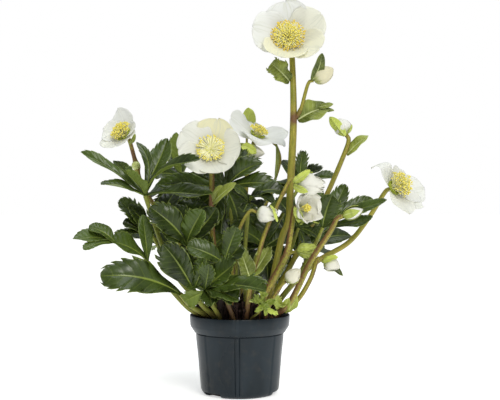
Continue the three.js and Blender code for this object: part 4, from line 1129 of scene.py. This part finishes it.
def makeHeart(node, place, seed):
    v = heartValues
    bag = Bag()
    at, normal, up, right = flowerFrame(place)
    stamens = place["stamens"]
    aside, over = stamens.get("shift", (0, 0))
    foot = at + normal * v["lift"] + right * aside + up * over
    axes = np.array([right, up, normal])
    addStamens(bag, stamens, axes, foot, seed, 0)
    addFromTree(bag, "horns", {
        "Count": v["nectaries"], "Ring radius": (stamens["foot"] + v["nectaryRing"]) * mm,
        "Lean": v["nectaryLean"], "Length": v["nectaryLength"] * mm, "Foot width": v["nectaryFoot"] * mm,
        "Mouth width": v["nectaryMouth"] * mm, "Seed": seed, "Material": materials["nectary"],
    }, axes, foot, {"nectary": 2}, v["nectarySink"])
    addFromTree(bag, "horns", {
        "Count": v["carpels"], "Ring radius": v["carpelRing"] * mm, "Lean": stamens.get("styleLean", 0.22),
        "Length": stamens.get("styleLength", stamens["height"] * 0.9) * mm, "Foot width": v["carpelFoot"] * mm,
        "Mouth width": v["carpelTip"] * mm, "Seed": seed + 1, "Material": materials["carpel"],
    }, axes, foot, {"carpel": 3})
    addCushion(bag, stamens["reach"] * stamens["cushion"], v["cushionHeight"], axes, foot, 2)
    piece = bag.build(pieceName(node) + "Heart", ["filament", "anther", "nectary", "carpel"])
    settle(piece, f"{node}_heart")


for seed, (node, place) in enumerate(flowerPlaces.items(), 1):
    makeSepals(node, place, seed)
    makeHeart(node, place, seed)
print("flowers opened:", len(flowerPlaces))


# Each bud: its base and tip, its radius, how far it is open, and its green outer sepals as (turn in degrees,
# wrap in degrees, share of the length, how far the end stands off).
budPlaces = {
    "half_open_flower_upper": {
        "base": (65, -49, 251), "tip": (96, -51, 247), "radius": 12, "open": 0.4, "crumple": 0.16,
        "green": [(250, 75, 0.5, 0.1), (330, 70, 0.5, 0.1)],
        "leaves": [
            ((62, -52, 251), (81, -58, 265), (0.2, -0.9, 0.4), 10, 1.2),
            ((62, -54, 248), (78, -64, 240), (0, -0.95, -0.3), 9, 1.1),
        ],
    },
    "half_open_flower_lower": {
        "base": (69, -34, 221), "tip": (82, -51, 222), "radius": 12, "open": 0.95, "crumple": 0.22, "flare": 0.6,
        "green": [(215, 70, 0.8, 0.3), (150, 60, 0.8, 0.2)], "heart": 0.42,
        "leaves": [((72, -44, 208), (63, -56, 224), (-0.4, -0.9, 0.1), 10, 1.1)],
    },
    "bud_top": {
        "base": (88, -12, 373), "tip": (111, -12, 387), "radius": 9.5, "tint": 0.8, "full": 0.5, "green": [],
    },
    "bud_right_high": {
        "base": (130, 25, 311), "tip": (122, 32, 331), "radius": 10.5, "tint": 0.1, "green": [(20, 70, 0.4, 0)],
    },
    "bud_centre": {
        "base": (20, -58, 217), "tip": (40, -62, 213), "radius": 10, "tint": 0.2, "open": 0.3, "crumple": 0.24,
        "green": [(300, 60, 0.9, 0.1)],
        "leaves": [((38, -71, 220), (43, -68, 206), (0.6, -0.8, 0), 4.5, 1.0),
                   ((35, -70, 225), (41, -67, 216), (0.6, -0.8, 0), 4, 0.8)],
    },
    "bud_low": {
        "base": (54, -47, 137), "tip": (69, -50, 151), "radius": 7.5, "tint": 0.5, "crumple": 0.14,
        "green": [(200, 70, 0.6, 0.1)],
    },
    "bud_right_low": {
        "base": (100, -12, 158), "tip": (119, -14, 151), "radius": 9, "tint": 0.3, "crumple": 0.02,
        "green": [(20, 90, 0.35, 0.1)],
        "leaves": [
            ((98, -16, 157), (116, -23, 164), (0.1, -0.8, 0.6), 9, 1.2),
            ((100, -13, 150), (123, -15, 141), (0, -0.6, 0.8), 11, 0.0),
        ],
    },
    "bud_back": {
        "base": (3, 40, 294), "tip": (30, 30, 288), "radius": 7.5, "tint": 0.3,
        "green": [(60, 100, 0.65, 0.1), (180, 90, 0.5, 0.2), (300, 90, 0.6, 0.1)],
        "leaves": [((2, 28, 298), (20, 24, 288), (-0.1, -0.9, 0.4), 13, 1.4)],
    },
    "bud_green": {
        "base": (69, -14, 170), "tip": (89, -19, 174), "radius": 7, "tint": 1.0,
        "green": [(0, 150, 1.0, 0), (120, 150, 1.04, 0), (240, 150, 0.98, 0), (60, 120, 0.95, 0.15),
                  (200, 120, 0.9, 0.2)],
        "leaves": [
            ((67, -20, 171), (91, -24, 176), (0.1, -0.9, 0.4), 10, 0.75),
            ((68, -20, 169), (87, -26, 166), (0, -0.9, -0.3), 9, 0.5),
        ],
    },
    "bud_right": {
        "base": (121, -36, 212), "tip": (143, -41, 220), "radius": 6, "tint": 0.1,
        "green": [(80, 120, 0.9, 0.2), (210, 120, 1.0, 0.1), (330, 110, 0.85, 0.3)],
    },
}

budValues = {
    "sepals": 5,
    "rows": 18,
    "columns": 15,
    "spiral": 144,  # degrees from one white sepal to the next
    "firstTurn": 20,
    "wrap": 150,  # degrees of the bud that each white sepal wraps
    "thickness": 0.45,
    "layer": 0.3,  # mm between one white sepal and the next
    "greenThickness": 0.6,
    "greenLayer": (0.9, 0.4),  # mm outside the bud: the first green sepal, and each further one
    "greenTint": 0.65,
    "openHeart": 0.3,  # a bud that is open wider shows its stamens
    "heartLift": 2,
    "stamens": {"count": 50, "foot": 2, "hollow": 0.15, "spread": 1.0, "thread": 0.5, "anther": 2.6,
                "ringTint": 0.3},
    "stamenHeight": 0.7,  # as a share of the bud's length
}


def addPetal(bag, place, axes, turn, wrap, share, standOff, grown, seed, slot, thickness, tint):
    # one sepal round a bud's axis: share of the bud's length, stood off at its end, grown: mm outside the bud
    rng = random.Random(seed)
    length, radius, opening = place["length"], place["radius"], place.get("open", 0)
    crumple, pointed = place.get("crumple", 0.02), slot == 1
    first, second, axis = axes
    u, t = sheetGrid(budValues)
    along = u * share
    closed = np.sin(math.pi * np.clip(along, 0, 1) ** 0.82) ** place.get("full", 0.66)
    bell = np.sin(math.pi / 2 * np.clip(along * 1.5, 0, 1)) ** 0.8
    bell = bell * (1 + place.get("flare", 0.22) * along ** 2 * opening)
    r = radius * (closed * (1 - opening) + bell * opening)
    wave = np.sin(5 * u + 3.2 * t + rng.uniform(0, 6.28)) * (0.3 + np.abs(t)) * u
    r = np.maximum(r + radius * (crumple * wave + standOff * u ** 2.5) + grown, 0.3)
    end = (1 - u ** 1.6) ** 0.75 if pointed else (1 - u ** (4 + 8 * (1 - opening))) ** 0.45
    angle = math.radians(turn) + t * math.radians(wrap / 2) * end + 0.25 * along * (1 - opening)
    ragged = crumple * 0.7 * np.sin(4 * t + rng.uniform(0, 6.28)) * u ** 3
    z = length * (along * (1 - (0.04 + 0.1 * opening) * t ** 2 * u) + ragged)
    radial = first * np.cos(angle)[..., None] + second * np.sin(angle)[..., None]
    sheet = place["base"] + axis * z[..., None] + radial * r[..., None]
    thick = (thickness * np.clip((1 - u) * 5, 0.4, 1) * (1 - 0.5 * t ** 2))[..., None]
    addSheet(bag, sheet + radial * thick / 2, sheet - radial * thick / 2, u, t, slot, tint, 0.0)


def makeBud(node, place, seed):
    v = budValues
    bag = Bag()
    base, tip = np.asarray(place["base"], float), np.asarray(place["tip"], float)
    length, axis = np.linalg.norm(tip - base), unit(tip - base)
    place = {**place, "base": base, "length": length}
    first = unit(np.array([0, 0, 1.0]) - axis * axis[2])
    axes = (first, np.cross(axis, first), axis)
    for k in range(v["sepals"]):
        addPetal(bag, place, axes, v["spiral"] * k + v["firstTurn"], v["wrap"], 1.0, 0,
                 v["layer"] * (k - v["sepals"] // 2), seed * 13 + k, 0, v["thickness"], place.get("tint", 0.2))
    for k, green in enumerate(place["green"]):
        outside, further = v["greenLayer"]
        addPetal(bag, place, axes, *green, outside + further * k, seed * 19 + k, 1, v["greenThickness"],
                 v["greenTint"])
    for k, (leafBase, leafTip, facing, width, tint) in enumerate(place.get("leaves", [])):
        addBlade(bag, leafBase, leafTip, facing, width, fold=0.4, seed=seed * 23 + k, slot=1, wave=0.1, tint=tint,
                 outline=bractOutline)
    names = ["bud", "bract"]
    if place.get("open", 0) > v["openHeart"]:
        names += ["filament", "anther"]
        stamens = {**v["stamens"], "reach": place["radius"] * place.get("heart", 0.45),
                   "height": length * v["stamenHeight"]}
        addStamens(bag, stamens, np.array(axes), base + axis * v["heartLift"], seed, 2)
    settle(bag.build(pieceName(node), names), node)


for seed, (node, place) in enumerate(budPlaces.items(), 1):
    makeBud(node, place, seed)
print("buds made:", len(budPlaces))


# Each stem: the foot, the points that it passes, what it carries, its radii at the foot and the top, how red it
# is, side branches, flushed spots, and its small bracts as (base, tip, the way it looks, width, changes).
stemPlaces = {
    "stem_tall": {
        "foot": (26, -6),
        "via": [(34, -9, 112), (49, -10, 182), (58, -10, 208), (60, -10, 244), (64, -8, 327), (63, 4, 400)],
        "carries": "flower_top", "radii": (4.4, 3.2), "red": 0.15,
        "branches": [
            {"via": [(64, -8, 326), (72, -10, 337)], "carries": "bud_top", "radii": (2.4, 2)},
            {"via": [(46, -10, 160), (55, -12, 164)], "carries": "bud_green", "radii": (2, 1.6)},
        ],
        "spots": [((66, -10, 328), 9, 1.0)], "swell": [(0.6, 0.9, 0.12)],
    },
    "stem_front": {
        "foot": (22, -24), "via": [(30, -34, 122), (53, -36, 165), (60, -34, 196)],
        # here the reddened side is the left one, away from the light: painted shade as well as flush
        "carries": "half_open_flower_lower", "radii": (4.6, 2.6), "red": 0.9, "redSide": (-0.9, -0.3, 0.2),
    },
    "stem_forked": {
        "foot": (8, -34), "via": [(13, -45, 136), (22, -45, 168), (32, -45, 199)],
        "carries": "half_open_flower_upper", "radii": (3.6, 1.8), "red": 0.7,
        "bracts": [
            ((13, -45, 138), (0, -52, 178), (0.3, -0.9, 0.2), 22,
             {"tint": 0.0, "teeth": 0.8, "fold": 0.7, "wave": 0.14}),
            ((15, -44, 144), (35, -36, 176), (-0.3, -0.9, 0.2), 22,
             {"tint": 0.35, "teeth": 0.8, "fold": 0.8, "wave": 0.14}),
        ],
    },
    "stem_curled": {
        "foot": (-10, -30), "via": [(-8, -41, 140), (-5, -44, 178), (2, -48, 202)],
        "carries": "bud_centre", "radii": (2.6, 1.6), "red": 0.6,
    },
    "stem_right_high": {
        "foot": (28, 20), "via": [(45, 20, 120), (62, 20, 152), (84, 22, 194), (106, 24, 237), (127, 23, 286)],
        "carries": "bud_right_high", "radii": (4, 2.6), "red": 0.3,
    },
    "stem_right": {
        "foot": (40, -14), "via": [(60, -24, 112), (83, -30, 159), (105, -34, 193)],
        # here the reddened side is the left one, away from the light: painted shade as well as flush
        "carries": "bud_right", "radii": (4.4, 2.6), "red": 0.8, "redSide": (-0.8, -0.5, 0.2),
    },
    "stem_far_right": {
        "foot": (38, 7), "via": [(56, 9, 120), (91, 10, 155), (131, 12, 179), (156, 13, 209)],
        "carries": "flower_right", "radii": (3.8, 2.6), "red": 0.25,
    },
    "stem_right_low": {
        "foot": (44, -3), "via": [(68, -9, 111), (84, -12, 137)], "carries": "bud_right_low",
        "radii": (3.2, 2.4), "red": 0.6,
        "bracts": [
            ((55, -8, 97), (68, -15, 119), (0.6, -0.7, 0.3), 10, {"tint": 0.7, "fold": 0.8, "wave": 0.15}),
            ((50, -12, 97), (42, -30, 122), (0, -0.9, 0.4), 11, {"tint": 0.8, "teeth": 2.5}),
            ((52, -13, 97), (58, -31, 117), (0, -0.9, 0.4), 11, {"tint": 0.9, "teeth": 2.5}),
            ((50, -14, 97), (50, -34, 108), (0, -0.8, 0.6), 10, {"tint": 0.7, "teeth": 2.5}),
        ],
    },
    "stem_bud_low": {
        "foot": (30, -33), "via": [(38, -46, 116)], "carries": "bud_low", "radii": (2.2, 1.5), "red": 0.9,
    },
    "stem_centre": {
        "foot": (-14, -8), "via": [(-26, -13, 140), (-33, -16, 200), (-33, -14, 258)],
        "carries": "flower_centre", "radii": (3.8, 2.8), "red": 0.8,
        "bracts": [
            ((-33, -15, 226), (-4, -26, 251), (-0.4, -0.7, 0.5), 15, {}),
            ((-33, -15, 228), (-20, -30, 248), (-0.4, -0.7, 0.5), 10, {}),
        ],
        "spots": [((-33, -15, 226), 22, 0.9)],
    },
    "stem_left": {
        "foot": (-22, 10), "via": [(-50, 18, 140), (-88, 24, 200), (-118, 22, 245), (-127, 17, 277)],
        "carries": "flower_left", "radii": (3.6, 2.3), "red": 0.6,
        "bracts": [((-134, 11, 299), (-126, 2, 311), (0.5, -0.8, 0), 6, {})],
        "swell": [(0.692, 2.6, 0.022)], "knobs": [((-126.5, 16.5, 273), 5.4, 7.5)],
        "spots": [((-130, 15, 285), 11, 0.9)],
    },
    "stem_back": {
        "foot": (2, 18), "via": [(5, 36, 170), (8, 46, 256)], "carries": "flower_back", "radii": (3.6, 2.6),
        "red": 0.4,
        "branches": [
            {"via": [(8, 46, 262), (1, 44, 280)], "carries": "bud_back", "radii": (2, 1.6)},
            {"via": [(7, 44, 244), (8, 66, 276), (8, 86, 318)], "radii": (2, 1.4)},
            {"via": [(6, 40, 206), (32, 50, 226), (42, 52, 252), (50, 52, 280), (46, 50, 297), (41, 49, 302)],
             "radii": (1.8, 1.5)},
        ],
        "bracts": [
            ((8, 86, 316), (11, 90, 350), (0, -1, 0.2), 19, {"tint": 1.6}),
            ((44, 51, 256), (44, 49, 304), (0.4, -0.9, 0), 5, {"tint": 0.1, "curl": -0.1}),
            ((10, 44, 286), (-3, 28, 300), (-0.2, -0.9, 0.4), 14, {"tint": 0.4, "teeth": 2, "wave": 0.15}),
            ((8, 44, 282), (14, 24, 287), (0.2, -0.9, 0.4), 13, {"tint": 0.7, "teeth": 2, "wave": 0.15}),
            ((4, 42, 280), (-6, 26, 285), (-0.2, -0.8, 0.5), 12, {"tint": 0.9, "teeth": 2, "wave": 0.15}),
        ],
    },
}
stemValues = {
    "neck": 8,  # mm from a flower's or bud's base, in line with it
    "seat": 0.4,
    "footFlush": (30, 0.9),  # reach and strength of the red at its foot
    "forkFlush": (16, 0.9),
    # the reddened side of a stem: partly its own flush, partly painted shade
    "flushAndShadeFacing": (0.9, -0.3, 0.2), "flushAndShadeAmount": (0.25, 0.6),  # the side that reddens, and how much
    "knobTint": 1.1,
}

bractValues = {"bow": 0.08, "fold": 0.3, "teeth": 0.0, "wave": 0.06, "tint": 0.5, "curl": 0.0, "blunt": 0.75}
bractPlaces = {
    "bract_tall_left": (
        (59.4, -2, 373), (37, -14, 393), (0.1, -1, 0.2), 26,
        {"tint": 0.15, "teeth": 1.2, "fold": 0.4, "wave": 0.16, "blunt": 0.35}),
    "bract_tall_right": (
        (69, -8, 326), (105, 1, 342), (-0.2, -0.95, 0.3), 30,
        {"tint": 0.12, "fold": 0.55, "wave": 0.1,
         "lobes": [((93, -3, 342), (112, -4, 346), 7), ((98, -1, 338), (113, -2, 338), 6)]}),
    "bract_top_bud": ((86, -15, 373), (97, -22, 404), (0.35, -0.9, 0.2), 14, {"tint": 0.0}),
    "bract_right_high": ((131, 25, 286), (157, 22, 310), (-0.5, -0.7, 0.4), 16, {"tint": 0.45}),
    "bract_right_bud": ((128, 18, 309), (109, 11, 332), (0.3, 0.9, 0.3), 14, {"tint": 0.9, "fold": 0.5}),
}


def neck(name):
    # the last two points of a stem, in line with the flower or bud that it carries
    if name in flowerPlaces:
        seat, axis = flowerPlaces[name]["at"], flowerPlaces[name]["facing"]
    elif name:
        seat = budPlaces[name]["base"]
        axis = np.subtract(budPlaces[name]["tip"], seat)
    else:
        return []
    return [tuple(np.asarray(seat, float) - unit(axis) * stemValues[back]) for back in ("neck", "seat")]


def addBract(bag, place, seed, slot):
    base, tip, facing, width, changes = place
    v = {**bractValues, **changes}
    outline, lobes = partial(bractOutline, blunt=v.pop("blunt")), v.pop("lobes", ())
    addBlade(bag, base, tip, facing, width, seed=seed, slot=slot, outline=outline, **v)
    for k, (base, tip, width) in enumerate(lobes):
        addBlade(bag, base, tip, facing, width, seed=seed * 3 + k, slot=slot, teeth=0.0, tint=v["tint"],
                 outline=bractOutline)


def makeStem(node, place, seed):
    v = stemValues
    bag = Bag()
    red = place["red"]
    path = stalkPath(place["foot"], [*place["via"], *neck(place["carries"])])
    least, more = v["flushAndShadeAmount"]
    redSide = (*place.get("redSide", v["flushAndShadeFacing"]), least + more * red)
    addStalk(bag, path, *place["radii"], 0, [(path[1], *v["footFlush"]), *place.get("spots", [])], red,
             place.get("swell", ()), redSide)
    for branch in place.get("branches", []):
        route = [*branch["via"], *neck(branch.get("carries"))]
        addStalk(bag, route, *branch["radii"], 0, [(route[0], *v["forkFlush"])], red, redSide=redSide)
    addSheaths(bag, place["foot"], place["radii"][0], seed + 60, 2)
    for k, bract in enumerate(place.get("bracts", [])):
        addBract(bag, bract, seed * 7 + k, 1)
    for at, radius, height in place.get("knobs", []):
        axes = np.array([(1, 0, 0), (0, 0, 1), (0, -1, 0)])
        addCushion(bag, radius, height, axes, np.array(at), 1, v["knobTint"])
    settle(bag.build(pieceName(node), ["stem", "bract", "sheath"]), node)


def makeBract(node, place, seed):
    bag = Bag()
    addBract(bag, place, seed, 0)
    settle(bag.build(pieceName(node), ["bract"]), node)


for seed, (node, place) in enumerate(stemPlaces.items(), 1):
    makeStem(node, place, seed)
for seed, (node, place) in enumerate(bractPlaces.items(), 50):
    makeBract(node, place, seed)
print("stems and bracts grown:", len(stemPlaces) + len(bractPlaces))


potValues = {
    "height": 94, "rimRadius": 60, "bandFoot": 81, "shoulder": 75, "bodyTop": 53, "bodyFoot": 47, "corner": 9,
    "footRadius": 41, "wall": 1.3, "segments": 360,
    "ribs": 3, "ribTurn": -2.9, "ribHalfWidth": 2.4, "grooveDepth": 1.3, "grooveWidth": 0.8,
    "panelTurn": 60.5, "panelHalfWidth": 9, "panelHeight": 0.7, "panelEdge": 0.35, "panelTop": 73,
    "notches": 3, "notchFirst": -46, "notchWidth": 34, "notchHeight": 5, "notchInner": 34,
    "sharpAngle": 35,
}


def ringMesh(profile, segments, bulge=None):
    # a closed profile of (radius, height) turned about Z
    a = np.arange(segments) / segments * 2 * math.pi
    points = []
    for r, z in np.asarray(profile, float):
        grown = r + (bulge(a, r, z) if bulge else 0)
        points.append(np.column_stack([np.sin(a) * grown, -np.cos(a) * grown, np.full(segments, z)]))
    last = (len(profile) - 1) * segments
    faces = [*ringFaces(len(profile), segments), list(range(segments))[::-1], list(range(last, last + segments))]
    return np.concatenate(points), faces


def potRibs(a, r, z):
    # how far the pot's side stands out: two grooves beside each rib, and a flat panel between ribs
    v = potValues
    if r < v["footRadius"] + 1:
        return np.zeros(len(a))
    pitch = 2 * math.pi / v["ribs"]
    rib, panel = (np.abs((a - math.radians(turn) + pitch / 2) % pitch - pitch / 2) * r
                  for turn in (v["ribTurn"], v["panelTurn"]))
    groove = v["grooveDepth"] * np.exp(-(((rib - v["ribHalfWidth"]) / v["grooveWidth"]) ** 2))
    if z >= v["panelTop"]:
        return -0.5 * groove
    return v["panelHeight"] / (1 + np.exp((panel - v["panelHalfWidth"]) / v["panelEdge"])) - groove


def makePot():
    v = potValues
    foot, body, top, rim = v["footRadius"], v["bodyFoot"], v["bodyTop"], v["rimRadius"]
    band, high, inner = v["bandFoot"], v["height"], v["rimRadius"] - v["wall"]
    outside = [
        (foot - 12, 0.0), (foot - 0.6, 0.0), (foot, 0.2), (foot + 2.6, 1.3), (body - 1.5, 3.5), (body - 0.4, 6.2),
        (body, v["corner"]), (body + 1.5, 27), (body + 3, 45), (top - 0.7, 66), (top - 0.5, 72.0),
        (top - 1.3, 72.6),
        (top - 1.3, 73.2), (top + 1.3, 73.6), (top + 1.9, 74.6), (rim - 1.6, band - 1.0), (rim - 0.8, band + 0.6),
        (rim - 0.4, band + 5), (rim - 0.1, high - 0.9), (rim - 0.4, high - 0.1),
    ]
    inside = [
        (inner + 0.3, high - 0.1), (inner, high - 0.6), (inner - 0.4, band), (top - v["wall"], v["shoulder"]),
        (body - v["wall"], v["corner"]), (body - v["wall"] - 1.5, 3.5), (foot - v["wall"], v["wall"]),
    ]
    outer, facesOut = ringMesh(outside, v["segments"], potRibs)
    lining, facesIn = ringMesh(inside, v["segments"])
    # one shell: the outside up to the lip, then the lining down to the floor
    size, segments = len(outer), v["segments"]
    faces = facesOut[:-1] + [[i + size for i in face] for face in facesIn[:-2] + facesIn[-1:]]
    faces += ringFaces(2, segments, size - segments)
    bag = Bag()
    bag.add(np.concatenate([outer, lining]), faces)
    pot = bag.build("nurseryPot", ["pot"])
    half = math.radians(v["notchWidth"] / 2)
    cutters = []
    for k in range(v["notches"]):
        middle = math.radians(v["notchFirst"] + k * 360 / v["notches"])
        turns = [(r, middle + way * half * (step / 4 - 1))
                 for r, way in ((rim, 1), (v["notchInner"], -1)) for step in range(9)]
        corners = [(math.sin(a) * r, -math.cos(a) * r, z) for z in (-1, v["notchHeight"]) for r, a in turns]
        count = len(turns)
        block = Bag()
        block.add(corners, [*ringFaces(2, count), list(range(count))[::-1], list(range(count, 2 * count))])
        cutters.append(block.build(f"notch{k}", ["pot"]))
        modifier = pot.modifiers.new(f"notch{k}", "BOOLEAN")
        modifier.operation, modifier.solver, modifier.object = "DIFFERENCE", "EXACT", cutters[-1]
    bpy.context.view_layer.update()
    mesh = bpy.data.meshes.new_from_object(pot.evaluated_get(bpy.context.evaluated_depsgraph_get()))
    pot.modifiers.clear()
    pot.data = mesh
    for cutter in cutters:
        bpy.data.objects.remove(cutter)
    mesh.set_sharp_from_angle(angle=math.radians(v["sharpAngle"]))
    settle(pot, "pot")


compostValues = {
    "gap": 0.3,  # mm between it and the pot
    "segments": 120, "rings": 34, "top": 91.3, "flatRadius": 47, "edgeWidth": 10.5, "edgeDrop": 4.5,
    "lump": 1.7, "lumpSize": 9, "fine": 0.6, "fineScale": 3.3,
    # number per square metre, stretch, tumble, smallest and largest in mm, seed
    "crumbs": (260000, (1, 0.8, 0.7), 3.0, 0.7, 4.2, 4),
    "fibres": (26000, (7, 0.5, 0.4), 0.35, 0.7, 1.5, 5),
}


def soilHeight(x, y, r):
    v = compostValues
    spot = Vector((x / v["lumpSize"], y / v["lumpSize"], 2.3))
    lumps = noise.noise(spot) * v["lump"] + noise.noise(spot * v["fineScale"]) * v["fine"]
    return v["top"] - v["edgeDrop"] * max(0, (r - v["flatRadius"]) / v["edgeWidth"]) ** 2 + lumps


def makeCompost():
    v, pot = compostValues, potValues
    segments, clear = v["segments"], pot["wall"] + v["gap"]
    bottom = [
        (pot["footRadius"] - clear, clear), (pot["bodyFoot"] - clear - 1.5, 3.8),
        (pot["bodyFoot"] - clear, pot["corner"]), (pot["bodyTop"] - clear, pot["shoulder"]),
        (pot["rimRadius"] - clear - 1, pot["bandFoot"]),
    ]
    edge = pot["rimRadius"] - clear - 0.4
    levels = bottom + [(edge * (1 - k / v["rings"]), None) for k in range(v["rings"])]
    points = []
    for r, z in levels:
        for angle in np.arange(segments) / segments * 2 * math.pi:
            x, y = math.sin(angle) * r, -math.cos(angle) * r
            points.append((x, y, soilHeight(x, y, r) if z is None else z))
    skin = ringFaces(len(levels), segments)
    lid = list(range(len(points) - segments, len(points)))
    bag, top = Bag(), Bag()
    bag.add(points, [list(range(segments))[::-1], *skin, lid])
    top.add(points, [*skin[len(bottom) * segments:], lid])
    surface = top.build("surface", ["peat"])
    for density, stretch, tumble, small, large, seed in (v["crumbs"], v["fibres"]):
        mesh = runTree(trees["crumbs"], surface.data.copy(), {
            "Density": density, "Smallest": small * mm, "Largest": large * mm, "Stretch": stretch,
            "Tumble": tumble, "Seed": seed, "Material": materials["peat"]})
        bag.add(*meshArrays(mesh))
    bpy.data.objects.remove(surface)
    settle(bag.build("compostFill", ["peat"]), "compost")


rootstockValues = {
    "crownRadius": 47, "crownTop": 74, "crownFoot": 50, "crownSegments": 48,
    "roots": 6, "rootReach": 34, "rootRadius": 1.9,
    "baseFoot": 70, "soilLine": 92, "lean": 1.14,
    "stubs": 75, "stubReach": 40, "stubTop": (97, 114), "stubRadius": (1.3, 2.4), "goldenAngle": 2.39996,
    "seed": 3,
    # bases of old leaves that stand out of the compost: (x, y, height of the end, radius)
    "bases": [
        (-43, -17, 108, 3.3), (-38, 0, 103, 2.6), (-31, 5, 105, 2), (-19, 2, 109, 2.3), (-9, -3, 113, 2.5),
        (-20, 16, 106, 2.5), (-12, -15, 107, 2.5), (-5, -35, 105, 2.2), (4, -29, 112, 2.3), (2, 6, 112, 2.3),
        (18, -18, 114, 2.5), (27, -15, 107, 2.6), (29, -28, 102, 2.5), (11, -1, 108, 2.5), (30, 4, 110, 2.4),
        (-23, 27, 107, 2.2),
    ],
}


def makeRootstock():
    v = rootstockValues
    bag = Bag()
    radius, foot, top = v["crownRadius"], v["crownFoot"], v["crownTop"]
    crown = [(2, foot), (radius * 0.5, foot), (radius * 0.84, 62), (radius * 0.96, top - 1.5),
             (radius * 0.93, top)]
    bag.add(*ringMesh(crown, v["crownSegments"],
                      lambda a, r, z: 0.02 * r * np.cos(6 * a) + 0.5 * np.sin(11 * a + z)))
    for k in range(v["roots"]):
        a = (k + 0.4) / v["roots"] * 2 * math.pi
        route = [(v["rootReach"] * share * math.cos(a), v["rootReach"] * share * math.sin(a), z)
                 for share, z in ((0.4, foot + 5), (0.7, 34), (1, 20), (0.85, 7 + k % 3 * 4))]
        addStalk(bag, route, v["rootRadius"], v["rootRadius"] * 0.6, 0)
    rng = random.Random(v["seed"])
    # a crowd of extra dark stubs round the crown: old leaf bases, there partly as painted shade to fill the dark
    # between the stalk feet
    stubs = []
    for k in range(v["stubs"]):
        a, reach = k * v["goldenAngle"], v["stubReach"] * math.sqrt((k + 0.5) / v["stubs"])
        stubs.append((reach * math.cos(a), reach * math.sin(a), rng.uniform(*v["stubTop"]),
                      rng.uniform(*v["stubRadius"])))
    for x, y, end, radius in v["bases"] + stubs:
        route = [(x, y, v["baseFoot"]), (x, y, v["soilLine"]), (x * v["lean"], y * v["lean"], end)]
        addStalk(bag, route, radius, radius * 0.85, 1, swell=[(0.95, 0.4, 0.1)], tint=rng.uniform(0.2, 1))
    settle(bag.build("rootstockCrown", ["bark", "oldBase"]), "rootstock")


makePot()
makeCompost()
makeRootstock()
print("pot filled")


stageValues = {
    "floorRadius": 14, "floorCorners": 64, "floorColours": ("#f4f4f2", "#f6f6f4"), "floorGlow": 0.56,
    "skyColour": "#f4f8ff", "worldStrength": 0.36,
    "keyStrength": 1.58, "keySoftness": 25, "keyTurn": (56, 0, 20), "keyColour": (1, 0.985, 0.95),
    "topPower": 10, "topSize": 1.0, "topPlace": (0, 0.1, 1.5), "topColour": (0.93, 0.97, 1),
}


def makeFloor():
    v = stageValues
    mesh = bpy.data.meshes.new("floor")
    ring = [(math.cos(a) * v["floorRadius"], math.sin(a) * v["floorRadius"], 0)
            for a in np.linspace(0, 2 * math.pi, v["floorCorners"], endpoint=False)]
    mesh.from_pydata(ring, [], [list(range(len(ring)))])
    # the glow keeps the floor as white as the sky
    material, add = blankMaterial("matt white paint", Roughness=0.8, Emission_Color=(1, 1, 1, 1),
                                  Emission_Strength=v["floorGlow"])
    shader = material.node_tree.nodes["Principled BSDF"]
    material.node_tree.links.new(add("mix", grains(add, 400), *v["floorColours"]), shader.inputs["Base Color"])
    # floor and sky are even and huge, so rays find them well enough without being aimed
    material.cycles.emission_sampling = "NONE"
    mesh.materials.append(material)
    floor = link("floor", mesh)


def makeSky():
    world = bpy.data.worlds.new("studio")
    bpy.context.scene.world = world
    world.use_nodes = True
    world.cycles.sampling_method = "NONE"
    world.node_tree.nodes.clear()
    add = partial(addNode, world.node_tree)
    light = add("Background", stageValues["skyColour"], stageValues["worldStrength"])
    seen = add("Background", (1, 1, 1, 1), 1.0)
    add("OutputWorld", add("MixShader", add("LightPath", out="Is Camera Ray"), light, seen))


def addLight(name, kind, place=(0, 0, 0), turn=(0, 0, 0), **settings):
    light = bpy.data.lights.new(name, kind)
    for key, value in settings.items():
        setattr(light, key, value)
    lamp = link(name, light)
    lamp.location, lamp.rotation_euler = place, [math.radians(t) for t in turn]


def makeLights():
    v = stageValues
    addLight("key", "SUN", turn=v["keyTurn"], energy=v["keyStrength"], color=v["keyColour"],
             angle=math.radians(v["keySoftness"]))
    addLight("top", "AREA", v["topPlace"], energy=v["topPower"], color=v["topColour"], size=v["topSize"])


cameraValues = {
    "place": (12.2, -1200, 231),  # mm
    "focal": 1000,  # in pixels of the 500 px wide frame
    "frameWidth": 500,
    "sensor": 36,
    "farEnd": 100,
}


def makeCamera():
    v = cameraValues
    lens = bpy.data.cameras.new("camera")
    lens.sensor_width = v["sensor"]
    lens.lens = v["sensor"] * v["focal"] / v["frameWidth"]
    lens.clip_end = v["farEnd"]
    camera = link("camera", lens)
    camera.location = [c * mm for c in v["place"]]
    camera.rotation_euler = (math.radians(90), 0, 0)
    bpy.context.scene.camera = camera


makeFloor()
makeSky()
makeLights()
makeCamera()
bpy.context.scene.view_settings.view_transform = "Standard"
print("stage lit")
